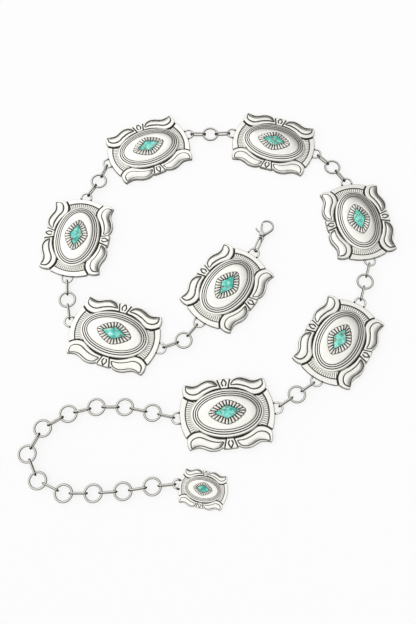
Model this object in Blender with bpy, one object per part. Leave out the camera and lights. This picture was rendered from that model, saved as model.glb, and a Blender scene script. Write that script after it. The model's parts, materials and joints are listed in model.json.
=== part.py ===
"""Concho chain belt: cast oval conchos with turquoise lozenges, joined by rings and upright oval
links, with a spring clasp at the inner end and a chain that ends in a small concho.

Lengths are in metres and headings in degrees. +Z is up, the belt lies on z = 0, and the middle of its
outline is at the origin. Heading 0 points along +X and heading 90 along +Y.
"""

from bisect import bisect_right
from math import atan2, cos, dist, hypot, pi, radians, sin, tan

import bmesh
import bpy
from mathutils import Matrix, Vector

# Concho casting, with each raised part's height over the plate
CONCHO_LENGTH = 0.076
CONCHO_HEIGHT = 0.0584
SMALL_CONCHO_SHARE = 0.5
PLATE_THICKNESS = 0.0026
WING_RISE = 0.0011
PILLOW_RISE = 0.0010
KEYSTONE_RISE = 0.0020
BAND_RISE = 0.0006
BACK_STEP = 0.0004
BACK_DISH_LENGTH = 0.050
BACK_DISH_HEIGHT = 0.030
CASTING_WALL = 0.0027
DISH_SIDES = 8

# Raised oval with its ridge, and the dome inside it
OVAL_LENGTH = 0.0580
OVAL_HEIGHT = 0.0386
OVAL_WALL_RISE = 0.0017
RIDGE_WIDTH = 0.0018
RIDGE_RISE = 0.0006
RIDGE_STEP = 0.0005
DOME_RISE = 0.0043
DOME_CROWN_SHARE = 1.1
OVAL_SECTIONS = 14

# Stone, and the gap that it keeps in its seat
STONE_LENGTH = 0.0206
STONE_HEIGHT = 0.0112
STONE_DEPTH = 0.0010
STONE_CROWN = 0.0014
STONE_SHOULDER_SHARE = 0.7
STONE_TABLE_SHARE = 0.45
STONE_ROUNDNESS = 1.12
STONE_CORNERS = 8
SEAT_GAP = 0.0003
SEAT_AXIS_SHARE = 1.6

# Fluted collar round the stone
COLLAR_END_WIDTH = 0.0045
COLLAR_SIDE_WIDTH = 0.0042
COLLAR_RISE = 0.0012
COLLAR_SLOPE_SHARE = 0.95
COLLAR_ROUNDNESS = 1.6
FLUTE_COUNT = 24
FLUTE_DEPTH = 0.0010

# Half-round loops cast on the ends of a concho
LOOP_WIRE = 0.0016
LOOP_RADIUS = 0.0044
LOOP_STRAIGHT = 0.0018
LOOP_ROOT_DEPTH = 0.0016
LOOP_ROOT_SHARE = 0.75
SMALL_LOOP_RADIUS = 0.0034
SMALL_LOOP_STRAIGHT = 0.0008
LOOP_STEPS = 3

# Rings and the upright links between them
RING_WIRE = 0.0018
RING_RADIUS = 0.0066
RING_SECTIONS = 10
WIRE_SIDES = 5
LINK_WIRE = 0.0015
LINK_REACH = 0.0094
LINK_GAP = 0.0003
CHAIN_BITE = 0.0006

# Clasp: its eye, its body, and the link that it hangs on
CLASP_LINK_ROLL = 35.0
CLASP_LINK_SPARE = 0.00035
CLASP_THICKNESS = 0.0042
EYE_WALL = 0.0012
EYE_THICKNESS = 0.0014
EYE_SPARE = 0.00025
SHOULDER_WALL = 0.0007
SHOULDER_SPARE = 0.0001
PIVOT_RIGHT = -0.0016
HOOK_RADIUS = 0.0055
HOOK_WIRE = 0.0018
HOOK_INSET = 0.0006
HOOK_REACH = 0.0085
HOOK_START = -25.0
HOOK_END = 158.0
HOOK_STEPS = 8
DISC_SIDES = 14
PIN_SIDES = 8

# Clasp's lever, about its pivot
PIN_RADIUS = 0.0005
HUB_WALL = 0.0008
LEVER_GAP = 0.0003
LEVER_THICKNESS = 0.0016
LEVER_ARM_WIDTH = 0.0017
LEVER_BOW = 0.0004
LEVER_OPEN = 25.0
TAB_RIGHT = -0.0068
TAB_UP = 0.0035
TAB_WIDTH = 0.0011

# Steps in which a curve's length is measured, and how near two points are one
MEASURE_STEPS = 720
WELD_DISTANCE = 0.000001

# How far a cutter runs past what it cuts, and how far a pin runs into the wall that holds it
CUT_MARGIN = 0.0010
PIN_ROOT = 0.0003

# One quarter of the concho's outline between the middle of the rim and the keystone.
# Columns: share of half the length, share of half the height.
RIM_EDGE = ((0.983, 0.250), (0.925, 0.530))
PLATE_UNDER_WING = ((0.80, 0.66), (0.16, 0.86))
PLATE_TOP_SHARE = 0.90
WING_EDGE = (
    (0.884, 0.590),
    (0.889, 0.740),
    (0.842, 0.911),
    (0.658, 0.866),
    (0.447, 0.976),
    (0.342, 0.997),
    (0.158, 0.928),
)
WING_INNER_EDGE = (
    (0.105, 0.720),
    (0.395, 0.609),
    (0.600, 0.452),
)
PILLOW_EDGE = (
    (0.155, 0.788),
    (0.337, 0.935),
    (0.655, 0.805),
    (0.795, 0.836),
    (0.690, 0.600),
)
KEYSTONE_EDGE = ((0.066, 0.600), (0.126, 0.975))
BAND_EDGE = ((0.700, 0.440), (0.800, 0.440), (0.870, 0.160))

# The hollow in a concho's back. Columns: share of its half sizes, share of its depth.
BACK_DISH_SECTIONS = ((1.06, -0.33), (0.80, 1.0))

# Middle line of the lever's tab. Columns: share of its reach to the side, share of its reach up.
TAB_LINE = ((0.0, 0.0), (0.48, 0.30), (0.75, 0.58), (1.0, 1.0))

# The chain's route on the table. Each row leads from one concho over a ring to the next.
# Columns: end it leaves (1 right, -1 left), heading to the ring, heading from the ring,
# end it reaches, heading of the next concho, slack in each link as a share of its reach.
FIRST_CONCHO_HEADING = 53.9
BELT_ROUTE = (
    (-1, -128.3, -159.4, 1, -17.1, 0.0),
    (-1, 100.1, 94.9, -1, 81.8, 0.032),
    (1, 60.2, 68.3, -1, 24.0, 0.021),
    (1, -0.2, 3.3, -1, -16.1, 0.0),
    (1, -45.1, -54.4, 1, 100.8, 0.0),
    (-1, -106.2, -106.2, 1, 59.5, 0.0),
    (-1, -145.5, -145.5, 1, 6.3, 0.064),
)
# Headings from the last concho's left loop, ring by ring, to the small concho's loop.
CHAIN_ROUTE = (167.5, 168.3, 180.2, 194.3, 211.3, 243.3, 296.0, 335.2, 0.3, 4.0, 9.2, 6.0)
SMALL_CONCHO_HEADING = -10.9
CLASP_LINK_HEADING = 65.0
CLASP_HEADING = 65.0

# Sizes that follow from the ones above
WING_LEVEL = PLATE_THICKNESS + WING_RISE
OVAL_WALL_LEVEL = PLATE_THICKNESS + OVAL_WALL_RISE
DOME_LEVEL = PLATE_THICKNESS + DOME_RISE
COLLAR_LEVEL = DOME_LEVEL + COLLAR_RISE
COLLAR_LENGTH = STONE_LENGTH + 2 * COLLAR_END_WIDTH
COLLAR_HEIGHT = STONE_HEIGHT + 2 * COLLAR_SIDE_WIDTH
SEAT_AXIS_GAP = SEAT_GAP * SEAT_AXIS_SHARE
LINK_INNER_RADIUS = max(RING_WIRE, LOOP_WIRE) / 2 + LINK_GAP
LINK_STRAND = LINK_INNER_RADIUS + LINK_WIRE / 2
WIRE_LEVEL = LINK_STRAND + LINK_WIRE / 2
CLASP_LINK_STRAND = LINK_STRAND + CLASP_LINK_SPARE
HUB_RADIUS = PIN_RADIUS + LEVER_GAP + HUB_WALL
SHOULDER_RADIUS = HUB_RADIUS + LEVER_GAP + SHOULDER_WALL
EYE_LEAN = EYE_THICKNESS / 2 * tan(radians(CLASP_LINK_ROLL))
EYE_BORE = EYE_LEAN + LINK_WIRE / 2 / cos(radians(CLASP_LINK_ROLL)) + EYE_SPARE
PIVOT_UP = EYE_BORE + SHOULDER_RADIUS + SHOULDER_SPARE
CLASP_MIDDLE = CLASP_THICKNESS / 2
LEVER_LOW = CLASP_MIDDLE - LEVER_THICKNESS / 2
LEVER_HIGH = CLASP_MIDDLE + LEVER_THICKNESS / 2


def clear_scene():
    for obj in list(bpy.data.objects):
        bpy.data.objects.remove(obj, do_unlink=True)


def new_collection(name):
    collection = bpy.data.collections.new(name)
    bpy.context.scene.collection.children.link(collection)
    return collection


def new_material(name, colour, roughness, metallic):
    material = bpy.data.materials.new(name)
    material.use_nodes = True
    shader = material.node_tree.nodes["Principled BSDF"]
    shader.inputs["Base Color"].default_value = (*colour, 1.0)
    shader.inputs["Roughness"].default_value = roughness
    shader.inputs["Metallic"].default_value = metallic
    material.diffuse_color = (*colour, 1.0)
    return material


def new_object(name, data, collection):
    obj = bpy.data.objects.new(name, data)
    collection.objects.link(obj)
    return obj


def put(belt, name, mesh, matrix):
    """A piece of the belt as an object of its own, placed under the belt's middle."""
    obj = new_object(name, mesh, belt)
    obj.parent = belt.objects["belt_middle"]
    obj.matrix_basis = matrix


def mesh_of(obj):
    """The evaluated mesh of an object with its caps welded. The object itself is removed."""
    bpy.context.view_layer.update()
    graph = bpy.context.evaluated_depsgraph_get()
    mesh = bpy.data.meshes.new_from_object(obj.evaluated_get(graph))
    shape = bmesh.new()
    shape.from_mesh(mesh)
    bmesh.ops.transform(shape, matrix=obj.matrix_world, verts=shape.verts)
    bmesh.ops.remove_doubles(shape, verts=shape.verts, dist=WELD_DISTANCE)
    bmesh.ops.recalc_face_normals(shape, faces=shape.faces)
    shape.to_mesh(mesh)
    shape.free()
    bpy.data.objects.remove(obj, do_unlink=True)
    return mesh


def outline_block(points, bottom, top, scratch):
    """A flat outline, as a filled 2D curve, extruded from one level to another."""
    curve = bpy.data.curves.new("outline", "CURVE")
    curve.dimensions = "2D"
    curve.fill_mode = "BOTH"
    curve.extrude = (top - bottom) / 2
    spline = curve.splines.new("POLY")
    spline.points.add(len(points) - 1)
    for point, (x, y) in zip(spline.points, points):
        point.co = (x, y, 0.0, 1.0)
    spline.use_cyclic_u = True
    obj = new_object("outline", curve, scratch)
    obj.location.z = (top + bottom) / 2
    return mesh_of(obj)


def wire_along(points, diameter, scratch):
    """A round wire of six sides along the points."""
    curve = bpy.data.curves.new("wire", "CURVE")
    curve.dimensions = "3D"
    curve.bevel_depth = diameter / 2
    curve.bevel_resolution = 1
    curve.use_fill_caps = True
    spline = curve.splines.new("POLY")
    spline.points.add(len(points) - 1)
    for point, place in zip(spline.points, points):
        point.co = (*place, 1.0)
    return mesh_of(new_object("wire", curve, scratch))


def loft(sections):
    """A closed body through sections with the same number of points, capped at both ends."""
    shape = bmesh.new()
    rows = [[shape.verts.new(point) for point in section] for section in sections]
    count = len(rows[0])
    for lower, upper in zip(rows, rows[1:]):
        for i in range(count):
            j = (i + 1) % count
            shape.faces.new((lower[i], lower[j], upper[j], upper[i]))
    shape.faces.new(list(reversed(rows[0])))
    shape.faces.new(rows[-1])
    bmesh.ops.recalc_face_normals(shape, faces=shape.faces)
    mesh = bpy.data.meshes.new("loft")
    shape.to_mesh(mesh)
    shape.free()
    return mesh


def combine(base, others, operation, scratch):
    """One mesh: the base with each of the others joined to it or cut from it."""
    target = new_object("target", base, scratch)
    tools = []
    for mesh in others:
        tool = new_object("tool", mesh, scratch)
        tool.hide_render = True
        tool.display_type = "WIRE"
        tools.append(tool)
        modifier = target.modifiers.new("join or cut", "BOOLEAN")
        modifier.operation = operation
        modifier.solver = "EXACT"
        modifier.object = tool
    mesh = mesh_of(target)
    for tool in tools:
        bpy.data.objects.remove(tool, do_unlink=True)
    return mesh


def moved(mesh, matrix):
    copy = mesh.copy()
    copy.transform(matrix)
    if matrix.determinant() < 0:
        copy.flip_normals()
    return copy


def finished(mesh, material, angle=30.0):
    """The mesh with its one material, smooth but for edges sharper than the angle."""
    mesh.materials.clear()
    mesh.materials.append(material)
    mesh.shade_smooth()
    mesh.set_sharp_from_angle(angle=radians(angle))
    return mesh


def scaled(shares, half_length, half_height):
    return [(x * half_length, y * half_height) for x, y in shares]


def mirrored(half, horizontal):
    """The points of one half, then its mirror image back to the start."""
    flip_x, flip_y = (-1, 1) if horizontal else (1, -1)
    return [*half, *[(flip_x * x, flip_y * y) for x, y in reversed(half)]]


def around(quarter, on_rim, on_top):
    """The whole outline from one quarter, with its points on the two axes of symmetry."""
    right_top = [(on_rim, 0.0), *quarter, (0.0, on_top)]
    left_top = [(-x, y) for x, y in reversed(quarter)]
    top = [*right_top, *left_top]
    bottom = [(-x, -y) for x, y in top]
    return [*top, *bottom]


def turns(count):
    return [2 * pi * i / count for i in range(count)]


def oval(half_length, half_height, level, count):
    return [(half_length * cos(t), half_height * sin(t), level) for t in turns(count)]


def disc(x, y, radius, bottom, top, count=DISC_SIDES):
    rows = []
    for level in (bottom, top):
        rows.append([(x + radius * cos(t), y + radius * sin(t), level) for t in turns(count)])
    return loft(rows)


def superellipse(angle, half_length, half_height, roundness):
    """Point at an angle on |x/a|^n + |y/b|^n = 1."""
    c, s = cos(angle), sin(angle)
    reach = (abs(c / half_length) ** roundness + abs(s / half_height) ** roundness) ** (-1 / roundness)
    return reach * c, reach * s


def even_superellipse(half_length, half_height, roundness, count):
    """Points at even spacing along a superellipse, from its right end on."""
    fine = [superellipse(t, half_length, half_height, roundness) for t in turns(MEASURE_STEPS)]
    fine.append(fine[0])
    travelled = [0.0]
    for before, after in zip(fine, fine[1:]):
        travelled.append(travelled[-1] + dist(before, after))
    points = []
    for i in range(count):
        wanted = travelled[-1] * i / count
        k = bisect_right(travelled, wanted) - 1
        share = (wanted - travelled[k]) / (travelled[k + 1] - travelled[k])
        (x, y), (next_x, next_y) = fine[k], fine[k + 1]
        points.append((x + share * (next_x - x), y + share * (next_y - y)))
    return points


def lozenge(half_length, half_height, level):
    """A lozenge with slightly bowed sides, its points spread evenly along the sides."""
    points = []
    for i in range(STONE_CORNERS):
        turn = 4.0 * i / STONE_CORNERS
        side = int(turn)
        share = turn - side
        x, y = ((1 - share, share), (-share, 1 - share), (share - 1, -share), (share, share - 1))[side]
        angle = atan2(y * half_height, x * half_length)
        points.append((*superellipse(angle, half_length, half_height, STONE_ROUNDNESS), level))
    return points


def strip(points, width):
    """The outline of a bar of one width along a line of points."""
    left, right = [], []
    for i, (x, y) in enumerate(points):
        before = points[max(i - 1, 0)]
        after = points[min(i + 1, len(points) - 1)]
        dx, dy = after[0] - before[0], after[1] - before[1]
        length = hypot(dx, dy)
        nx, ny = -dy / length, dx / length
        left.append((x + nx * width / 2, y + ny * width / 2))
        right.append((x - nx * width / 2, y - ny * width / 2))
    return [*right, *reversed(left)]


def oval_mound():
    """A ridge round an oval wall, then the dome that rises to a flat crown under the collar."""
    a, b = OVAL_LENGTH / 2, OVAL_HEIGHT / 2
    rows = [
        (0.0, PLATE_THICKNESS / 2),
        (0.0, OVAL_WALL_LEVEL),
        (RIDGE_WIDTH, OVAL_WALL_LEVEL + RIDGE_STEP),
        (1.5 * RIDGE_WIDTH, OVAL_WALL_LEVEL + RIDGE_STEP + RIDGE_RISE),
    ]
    sections = [oval(a - inset, b - inset, level, OVAL_SECTIONS) for inset, level in rows]
    crown = (DOME_CROWN_SHARE * COLLAR_LENGTH / 2, DOME_CROWN_SHARE * COLLAR_HEIGHT / 2)
    sections.append(oval(*crown, DOME_LEVEL, OVAL_SECTIONS))
    return loft(sections)


def collar():
    """A star of flutes, sloping up to the seat of the stone, with a groove at its right end."""
    a, b = COLLAR_LENGTH / 2, COLLAR_HEIGHT / 2
    rim = []
    for i, (x, y) in enumerate(even_superellipse(a, b, COLLAR_ROUNDNESS, 2 * FLUTE_COUNT)):
        inward = 0.0 if i % 2 else FLUTE_DEPTH
        reach = hypot(x, y)
        rim.append((x * (1 - inward / reach), y * (1 - inward / reach)))
    low = [(x, y, DOME_LEVEL - FLUTE_DEPTH) for x, y in rim]
    top = [(x * COLLAR_SLOPE_SHARE, y * COLLAR_SLOPE_SHARE, COLLAR_LEVEL) for x, y in rim]
    return loft((low, top))


def seat():
    """The recess that the stone drops into, with a gap all round."""
    floor = COLLAR_LEVEL - STONE_DEPTH - SEAT_GAP
    a, b = STONE_LENGTH / 2 + SEAT_AXIS_GAP, STONE_HEIGHT / 2 + SEAT_AXIS_GAP
    return loft((lozenge(a, b, floor), lozenge(a, b, COLLAR_LEVEL + STONE_CROWN)))


def back_dish():
    """The hollow in the back, which leaves the casting's wall under the dome's crown."""
    sections = []
    for share, depth_share in BACK_DISH_SECTIONS:
        half_length, half_height = share * BACK_DISH_LENGTH / 2, share * BACK_DISH_HEIGHT / 2
        level = depth_share * (DOME_LEVEL - CASTING_WALL)
        sections.append(oval(half_length, half_height, level, DISH_SIDES))
    return loft(sections)


def plate(scratch):
    a, b = CONCHO_LENGTH / 2, CONCHO_HEIGHT / 2
    quarter = scaled([*RIM_EDGE, *PLATE_UNDER_WING], a, b)
    return outline_block(around(quarter, a, PLATE_TOP_SHARE * b), 0.0, PLATE_THICKNESS, scratch)


def wing(scratch):
    """One corner scroll, with the pillow on it."""
    a, b = CONCHO_LENGTH / 2, CONCHO_HEIGHT / 2
    leaf = outline_block(scaled([*WING_EDGE, *WING_INNER_EDGE], a, b), BACK_STEP, WING_LEVEL, scratch)
    pillow_top = WING_LEVEL + PILLOW_RISE
    pillow = outline_block(scaled(PILLOW_EDGE, a, b), WING_LEVEL / 2, pillow_top, scratch)
    return combine(leaf, [pillow], "UNION", scratch)


def keystone(scratch):
    half = scaled(KEYSTONE_EDGE, CONCHO_LENGTH / 2, CONCHO_HEIGHT / 2)
    return outline_block(mirrored(half, True), BACK_STEP, PLATE_THICKNESS + KEYSTONE_RISE, scratch)


def band(scratch):
    """The raised band at one end, between the oval and the rim."""
    half = scaled(BAND_EDGE, CONCHO_LENGTH / 2, CONCHO_HEIGHT / 2)
    top = PLATE_THICKNESS + BAND_RISE
    return outline_block(mirrored(half, False), PLATE_THICKNESS / 2, top, scratch)


def concho_body(scratch):
    """The casting of a concho at full size, without its loops."""
    flips = [Matrix.Diagonal((x, y, 1, 1)) for x in (1, -1) for y in (1, -1)]
    one_wing = wing(scratch)
    one_keystone = keystone(scratch)
    one_band = band(scratch)
    pieces = [moved(one_wing, flip) for flip in flips]
    pieces += [moved(one_keystone, flip) for flip in flips[:2]]
    pieces += [moved(one_band, flip) for flip in (flips[0], flips[3])]
    pieces += [oval_mound(), collar()]
    body = combine(plate(scratch), pieces, "UNION", scratch)
    return combine(body, [back_dish(), seat()], "DIFFERENCE", scratch)


def loop_points(radius, straight, rim, root_level):
    """The middle line of a loop: legs rising from inside the plate, then half a circle."""
    root = rim - LOOP_ROOT_DEPTH
    points = [(root, -radius, root_level)]
    for i in range(LOOP_STEPS + 1):
        angle = -pi / 2 + pi * i / LOOP_STEPS
        points.append((rim + straight + radius * cos(angle), radius * sin(angle), WIRE_LEVEL))
    points.append((root, radius, root_level))
    return points


def concho_mesh(body, loops, share, scratch):
    """A concho at a share of full size, with loops on the ends named by their signs."""
    resized = moved(body, Matrix.Diagonal((share, share, share, 1)))
    small = share < 1
    radius = SMALL_LOOP_RADIUS if small else LOOP_RADIUS
    straight = SMALL_LOOP_STRAIGHT if small else LOOP_STRAIGHT
    root_level = LOOP_ROOT_SHARE * share * PLATE_THICKNESS
    points = loop_points(radius, straight, share * CONCHO_LENGTH / 2, root_level)
    wires = []
    for end in loops:
        wires.append(wire_along([(end * x, y, z) for x, y, z in points], LOOP_WIRE, scratch))
    return combine(resized, wires, "UNION", scratch)


def stone_mesh(share):
    """A lozenge cabochon: straight girdle, sloping crown and a small table.

    The seat shrinks with the share, so a smaller stone gives back what its gap lost.
    """
    lost = 1 - share
    a = share * STONE_LENGTH / 2 - lost * SEAT_AXIS_GAP
    b = share * STONE_HEIGHT / 2 - lost * SEAT_AXIS_GAP
    low = share * (COLLAR_LEVEL - STONE_DEPTH) + lost * SEAT_GAP
    girdle = share * COLLAR_LEVEL
    shoulder = girdle + share * STONE_SHOULDER_SHARE * STONE_CROWN
    top = girdle + share * STONE_CROWN
    table = STONE_TABLE_SHARE
    middle = (1 + table) / 2
    rows = ((1.0, low), (1.0, girdle), (middle, shoulder), (table, top))
    return loft([lozenge(width * a, width * b, level) for width, level in rows])


def wire_ring(radius, wire):
    bpy.ops.mesh.primitive_torus_add(
        major_segments=RING_SECTIONS,
        minor_segments=WIRE_SIDES,
        major_radius=radius,
        minor_radius=wire / 2,
    )
    return mesh_of(bpy.context.object)


def link_mesh(reach, strand, roll=0.0):
    """A ring drawn out to an oval link along X, standing on edge and rolled by the angle roll."""
    mesh = moved(wire_ring(strand, LINK_WIRE), Matrix.Rotation(pi / RING_SECTIONS, 4, "Z"))
    for vertex in mesh.vertices:
        vertex.co.x += reach / 2 if vertex.co.x > 0 else -reach / 2
    return moved(mesh, Matrix.Rotation(radians(90.0 - roll), 4, "X"))


def clasp_lines():
    """Middle lines of the hook, about the eye, and of the lever's arm, about the pivot."""
    centre = PIVOT_UP + HOOK_REACH
    hook_line = [(-PIVOT_RIGHT / 2, PIVOT_UP)]
    for i in range(HOOK_STEPS + 1):
        angle = radians(HOOK_START + (HOOK_END - HOOK_START) * i / HOOK_STEPS)
        hook_line.append((HOOK_RADIUS * cos(angle), centre + HOOK_RADIUS * sin(angle)))
    tip_x, tip_y = hook_line[-1][0] - PIVOT_RIGHT, hook_line[-1][1] - PIVOT_UP
    end = 1 - (LEVER_GAP + HOOK_WIRE / 3) / hypot(tip_x, tip_y)
    arm_line = [(0.0, 0.0), (tip_x / 2 - LEVER_BOW, tip_y / 2), (tip_x * end, tip_y * end)]
    return hook_line, arm_line


def slot_mouth(arm_line, low, high, scratch):
    """The open side of the lever's slot, from behind the tab to the arm when it is open."""
    far = 2 * SHOULDER_RADIUS
    opened = atan2(arm_line[1][1], arm_line[1][0]) - radians(LEVER_OPEN)
    side = LEVER_ARM_WIDTH / 2 + LEVER_GAP
    start = (side * sin(opened), -side * cos(opened))
    outline = [
        start,
        (start[0] + far * cos(opened), start[1] + far * sin(opened)),
        (-far, far),
        (-far, -LEVER_GAP),
        (-HUB_RADIUS / 2, -HUB_RADIUS),
    ]
    return outline_block([(PIVOT_RIGHT + x, PIVOT_UP + y) for x, y in outline], low, high, scratch)


def clasp_body_mesh(scratch):
    """The clasp's body along +Y with its eye at the origin, slotted for the lever, with its pin."""
    hook_line, arm_line = clasp_lines()
    hook_top = CLASP_THICKNESS - HOOK_INSET
    hook = outline_block(strip(hook_line, HOOK_WIRE), HOOK_INSET, hook_top, scratch)
    eye_low = WIRE_LEVEL - EYE_THICKNESS / 2
    eye_high = WIRE_LEVEL + EYE_THICKNESS / 2
    eye = disc(0.0, 0.0, EYE_BORE + EYE_WALL, eye_low, eye_high)
    shoulder = disc(PIVOT_RIGHT, PIVOT_UP, SHOULDER_RADIUS, 0.0, CLASP_THICKNESS)
    solid = combine(shoulder, [hook, eye], "UNION", scratch)
    slot_low, slot_high = LEVER_LOW - LEVER_GAP, LEVER_HIGH + LEVER_GAP
    hub_room = disc(PIVOT_RIGHT, PIVOT_UP, HUB_RADIUS + LEVER_GAP, slot_low, slot_high)
    mouth = slot_mouth(arm_line, slot_low, slot_high, scratch)
    eye_hole = disc(0.0, 0.0, EYE_BORE, eye_low - CUT_MARGIN, eye_high + CUT_MARGIN)
    slotted = combine(solid, [hub_room, mouth, eye_hole], "DIFFERENCE", scratch)
    pin = disc(PIVOT_RIGHT, PIVOT_UP, PIN_RADIUS, slot_low - PIN_ROOT, slot_high + PIN_ROOT, PIN_SIDES)
    return combine(slotted, [pin], "UNION", scratch)


def clasp_lever_mesh(scratch):
    """The lever about its pivot: hub, arm to the hook's tip, and thumb tab."""
    arm_line = clasp_lines()[1]
    arm = outline_block(strip(arm_line, LEVER_ARM_WIDTH), LEVER_LOW, LEVER_HIGH, scratch)
    tab_line = scaled(TAB_LINE, TAB_RIGHT, TAB_UP)
    tab = outline_block(strip(tab_line, TAB_WIDTH), LEVER_LOW, LEVER_HIGH, scratch)
    lever = combine(disc(0.0, 0.0, HUB_RADIUS, LEVER_LOW, LEVER_HIGH), [arm, tab], "UNION", scratch)
    bore = PIN_RADIUS + LEVER_GAP
    bore_cut = disc(0.0, 0.0, bore, LEVER_LOW - CUT_MARGIN, LEVER_HIGH + CUT_MARGIN, PIN_SIDES)
    return combine(lever, [bore_cut], "DIFFERENCE", scratch)


def toward(heading):
    return Vector((cos(radians(heading)), sin(radians(heading)), 0.0))


def placed(start, heading, level=0.0):
    return Matrix.Translation((start.x, start.y, level)) @ Matrix.Rotation(radians(heading), 4, "Z")


def loop_arm(share=1.0, straight=LOOP_STRAIGHT):
    """From a concho's middle to the centre of its loop."""
    return share * CONCHO_LENGTH / 2 + straight


def make_meshes(scratch):
    """The meshes that repeated pieces share, by the name of the piece."""
    cast = new_material("antiqued_silver_cast", (0.74, 0.73, 0.70), 0.32, 1.0)
    wire = new_material("silver_wire", (0.78, 0.77, 0.75), 0.22, 1.0)
    turquoise = new_material("turquoise", (0.18, 0.62, 0.56), 0.35, 0.0)
    body = concho_body(scratch)
    small = SMALL_CONCHO_SHARE
    return {
        "concho": finished(concho_mesh(body, (1, -1), 1.0, scratch), cast),
        "small_concho": finished(concho_mesh(body, (-1,), small, scratch), cast),
        "stone": finished(stone_mesh(1.0), turquoise, 50.0),
        "small_stone": finished(stone_mesh(small), turquoise, 50.0),
        "ring": finished(wire_ring(RING_RADIUS, RING_WIRE), wire),
        "link": finished(link_mesh(LINK_REACH, LINK_STRAND), wire),
        "clasp_link": finished(link_mesh(LINK_REACH, CLASP_LINK_STRAND, CLASP_LINK_ROLL), wire),
        "clasp_body": finished(clasp_body_mesh(scratch), wire),
        "clasp_lever": finished(clasp_lever_mesh(scratch), wire),
    }


def lay_belt(belt, meshes):
    """The large conchos along the route, with a ring and two links between each two of them.

    Gives the first concho's middle, and the last one's middle and heading.
    """
    first = place = Vector((0.0, 0.0, 0.0))
    heading = FIRST_CONCHO_HEADING
    put(belt, "concho_1", meshes["concho"], placed(place, heading))
    put(belt, "stone_1", meshes["stone"], placed(place, heading))
    for number, row in enumerate(BELT_ROUTE, 1):
        leave_end, to_ring, from_ring, reach_end, next_heading, slack = row
        reach = (1 - slack) * LINK_REACH
        leg = LOOP_RADIUS + reach + RING_RADIUS
        leave = place + leave_end * loop_arm() * toward(heading)
        link_place = leave + (LOOP_RADIUS + reach / 2) * toward(to_ring)
        ring_place = leave + leg * toward(to_ring)
        next_link_place = ring_place + (RING_RADIUS + reach / 2) * toward(from_ring)
        put(belt, f"link_{2 * number - 1}", meshes["link"], placed(link_place, to_ring, WIRE_LEVEL))
        put(belt, f"ring_{number}", meshes["ring"], placed(ring_place, to_ring, WIRE_LEVEL))
        put(belt, f"link_{2 * number}", meshes["link"], placed(next_link_place, from_ring, WIRE_LEVEL))
        heading = next_heading
        place = ring_place + leg * toward(from_ring) - reach_end * loop_arm() * toward(heading)
        put(belt, f"concho_{number + 1}", meshes["concho"], placed(place, heading))
        put(belt, f"stone_{number + 1}", meshes["stone"], placed(place, heading))
    return first, place, heading


def lay_chain(belt, meshes, last_place, last_heading, scratch):
    """The chain from the last concho's left loop, joined into one body, and the small concho.

    Inside the chain each link reaches into the rings that it holds by the bite. The links at
    its two ends keep their gap to the conchos' loops.
    """
    bite = LINK_GAP + CHAIN_BITE
    pieces = []
    spot = last_place - loop_arm() * toward(last_heading)
    held_radius = LOOP_RADIUS
    last = len(CHAIN_ROUTE) - 1
    for number, heading in enumerate(CHAIN_ROUTE):
        holds_near = number > 0
        holds_far = number < last
        link = link_mesh(LINK_REACH - bite * (holds_near + holds_far), LINK_STRAND)
        shift = bite * (holds_near - holds_far) / 2
        middle = spot + (held_radius + LINK_REACH / 2 + shift) * toward(heading)
        pieces.append(moved(link, placed(middle, heading, WIRE_LEVEL)))
        spot = spot + (held_radius + LINK_REACH) * toward(heading)
        if holds_far:
            spot = spot + RING_RADIUS * toward(heading)
            pieces.append(moved(meshes["ring"], placed(spot, heading, WIRE_LEVEL)))
            held_radius = RING_RADIUS
    chain = combine(pieces[0], pieces[1:], "UNION", scratch)
    put(belt, "chain", finished(chain, meshes["ring"].materials[0]), Matrix.Identity(4))
    loop_centre = spot + SMALL_LOOP_RADIUS * toward(CHAIN_ROUTE[-1])
    arm = loop_arm(SMALL_CONCHO_SHARE, SMALL_LOOP_STRAIGHT)
    place = placed(loop_centre + arm * toward(SMALL_CONCHO_HEADING), SMALL_CONCHO_HEADING)
    put(belt, "small_concho", meshes["small_concho"], place)
    put(belt, "small_stone", meshes["small_stone"], place)


def lay_clasp(belt, meshes, first_place):
    """The clasp and its link on the first concho's right loop."""
    spot = first_place + loop_arm() * toward(FIRST_CONCHO_HEADING)
    middle = spot + (LOOP_RADIUS + LINK_REACH / 2) * toward(CLASP_LINK_HEADING)
    put(belt, "clasp_link", meshes["clasp_link"], placed(middle, CLASP_LINK_HEADING, WIRE_LEVEL))
    eye = spot + (LOOP_RADIUS + LINK_REACH) * toward(CLASP_LINK_HEADING)
    eye = eye + (EYE_BORE + EYE_WALL / 2) * toward(CLASP_HEADING)
    frame = placed(eye, CLASP_HEADING - 90.0)
    put(belt, "clasp_body", meshes["clasp_body"], frame)
    pivot = Matrix.Translation((PIVOT_RIGHT, PIVOT_UP, 0.0))
    put(belt, "clasp_lever", meshes["clasp_lever"], frame @ pivot)


def centre(belt):
    """Moves the belt so that the middle of its outline is at the origin."""
    bpy.context.view_layer.update()
    corners = []
    for obj in belt.objects:
        if obj.type == "MESH":
            corners += [obj.matrix_world @ vertex.co for vertex in obj.data.vertices]
    low = [min(corner[axis] for corner in corners) for axis in (0, 1)]
    high = [max(corner[axis] for corner in corners) for axis in (0, 1)]
    middle = belt.objects["belt_middle"]
    middle.location = (-(low[0] + high[0]) / 2, -(low[1] + high[1]) / 2, 0.0)
    bpy.context.view_layer.update()


def main():
    clear_scene()
    belt = new_collection("concho_chain_belt")
    scratch = new_collection("cutters")
    new_object("belt_middle", None, belt)
    meshes = make_meshes(scratch)
    first_place, last_place, last_heading = lay_belt(belt, meshes)
    lay_chain(belt, meshes, last_place, last_heading, scratch)
    lay_clasp(belt, meshes, first_place)
    centre(belt)


main()
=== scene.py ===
"""Looks of a concho chain belt, built round its CAD frame.

Shapes are worked out in millimetres, each in its piece's own frame, and turned into metres when
they are laid at their place. Every piece of metal is one or more closed skins.
"""

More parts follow.
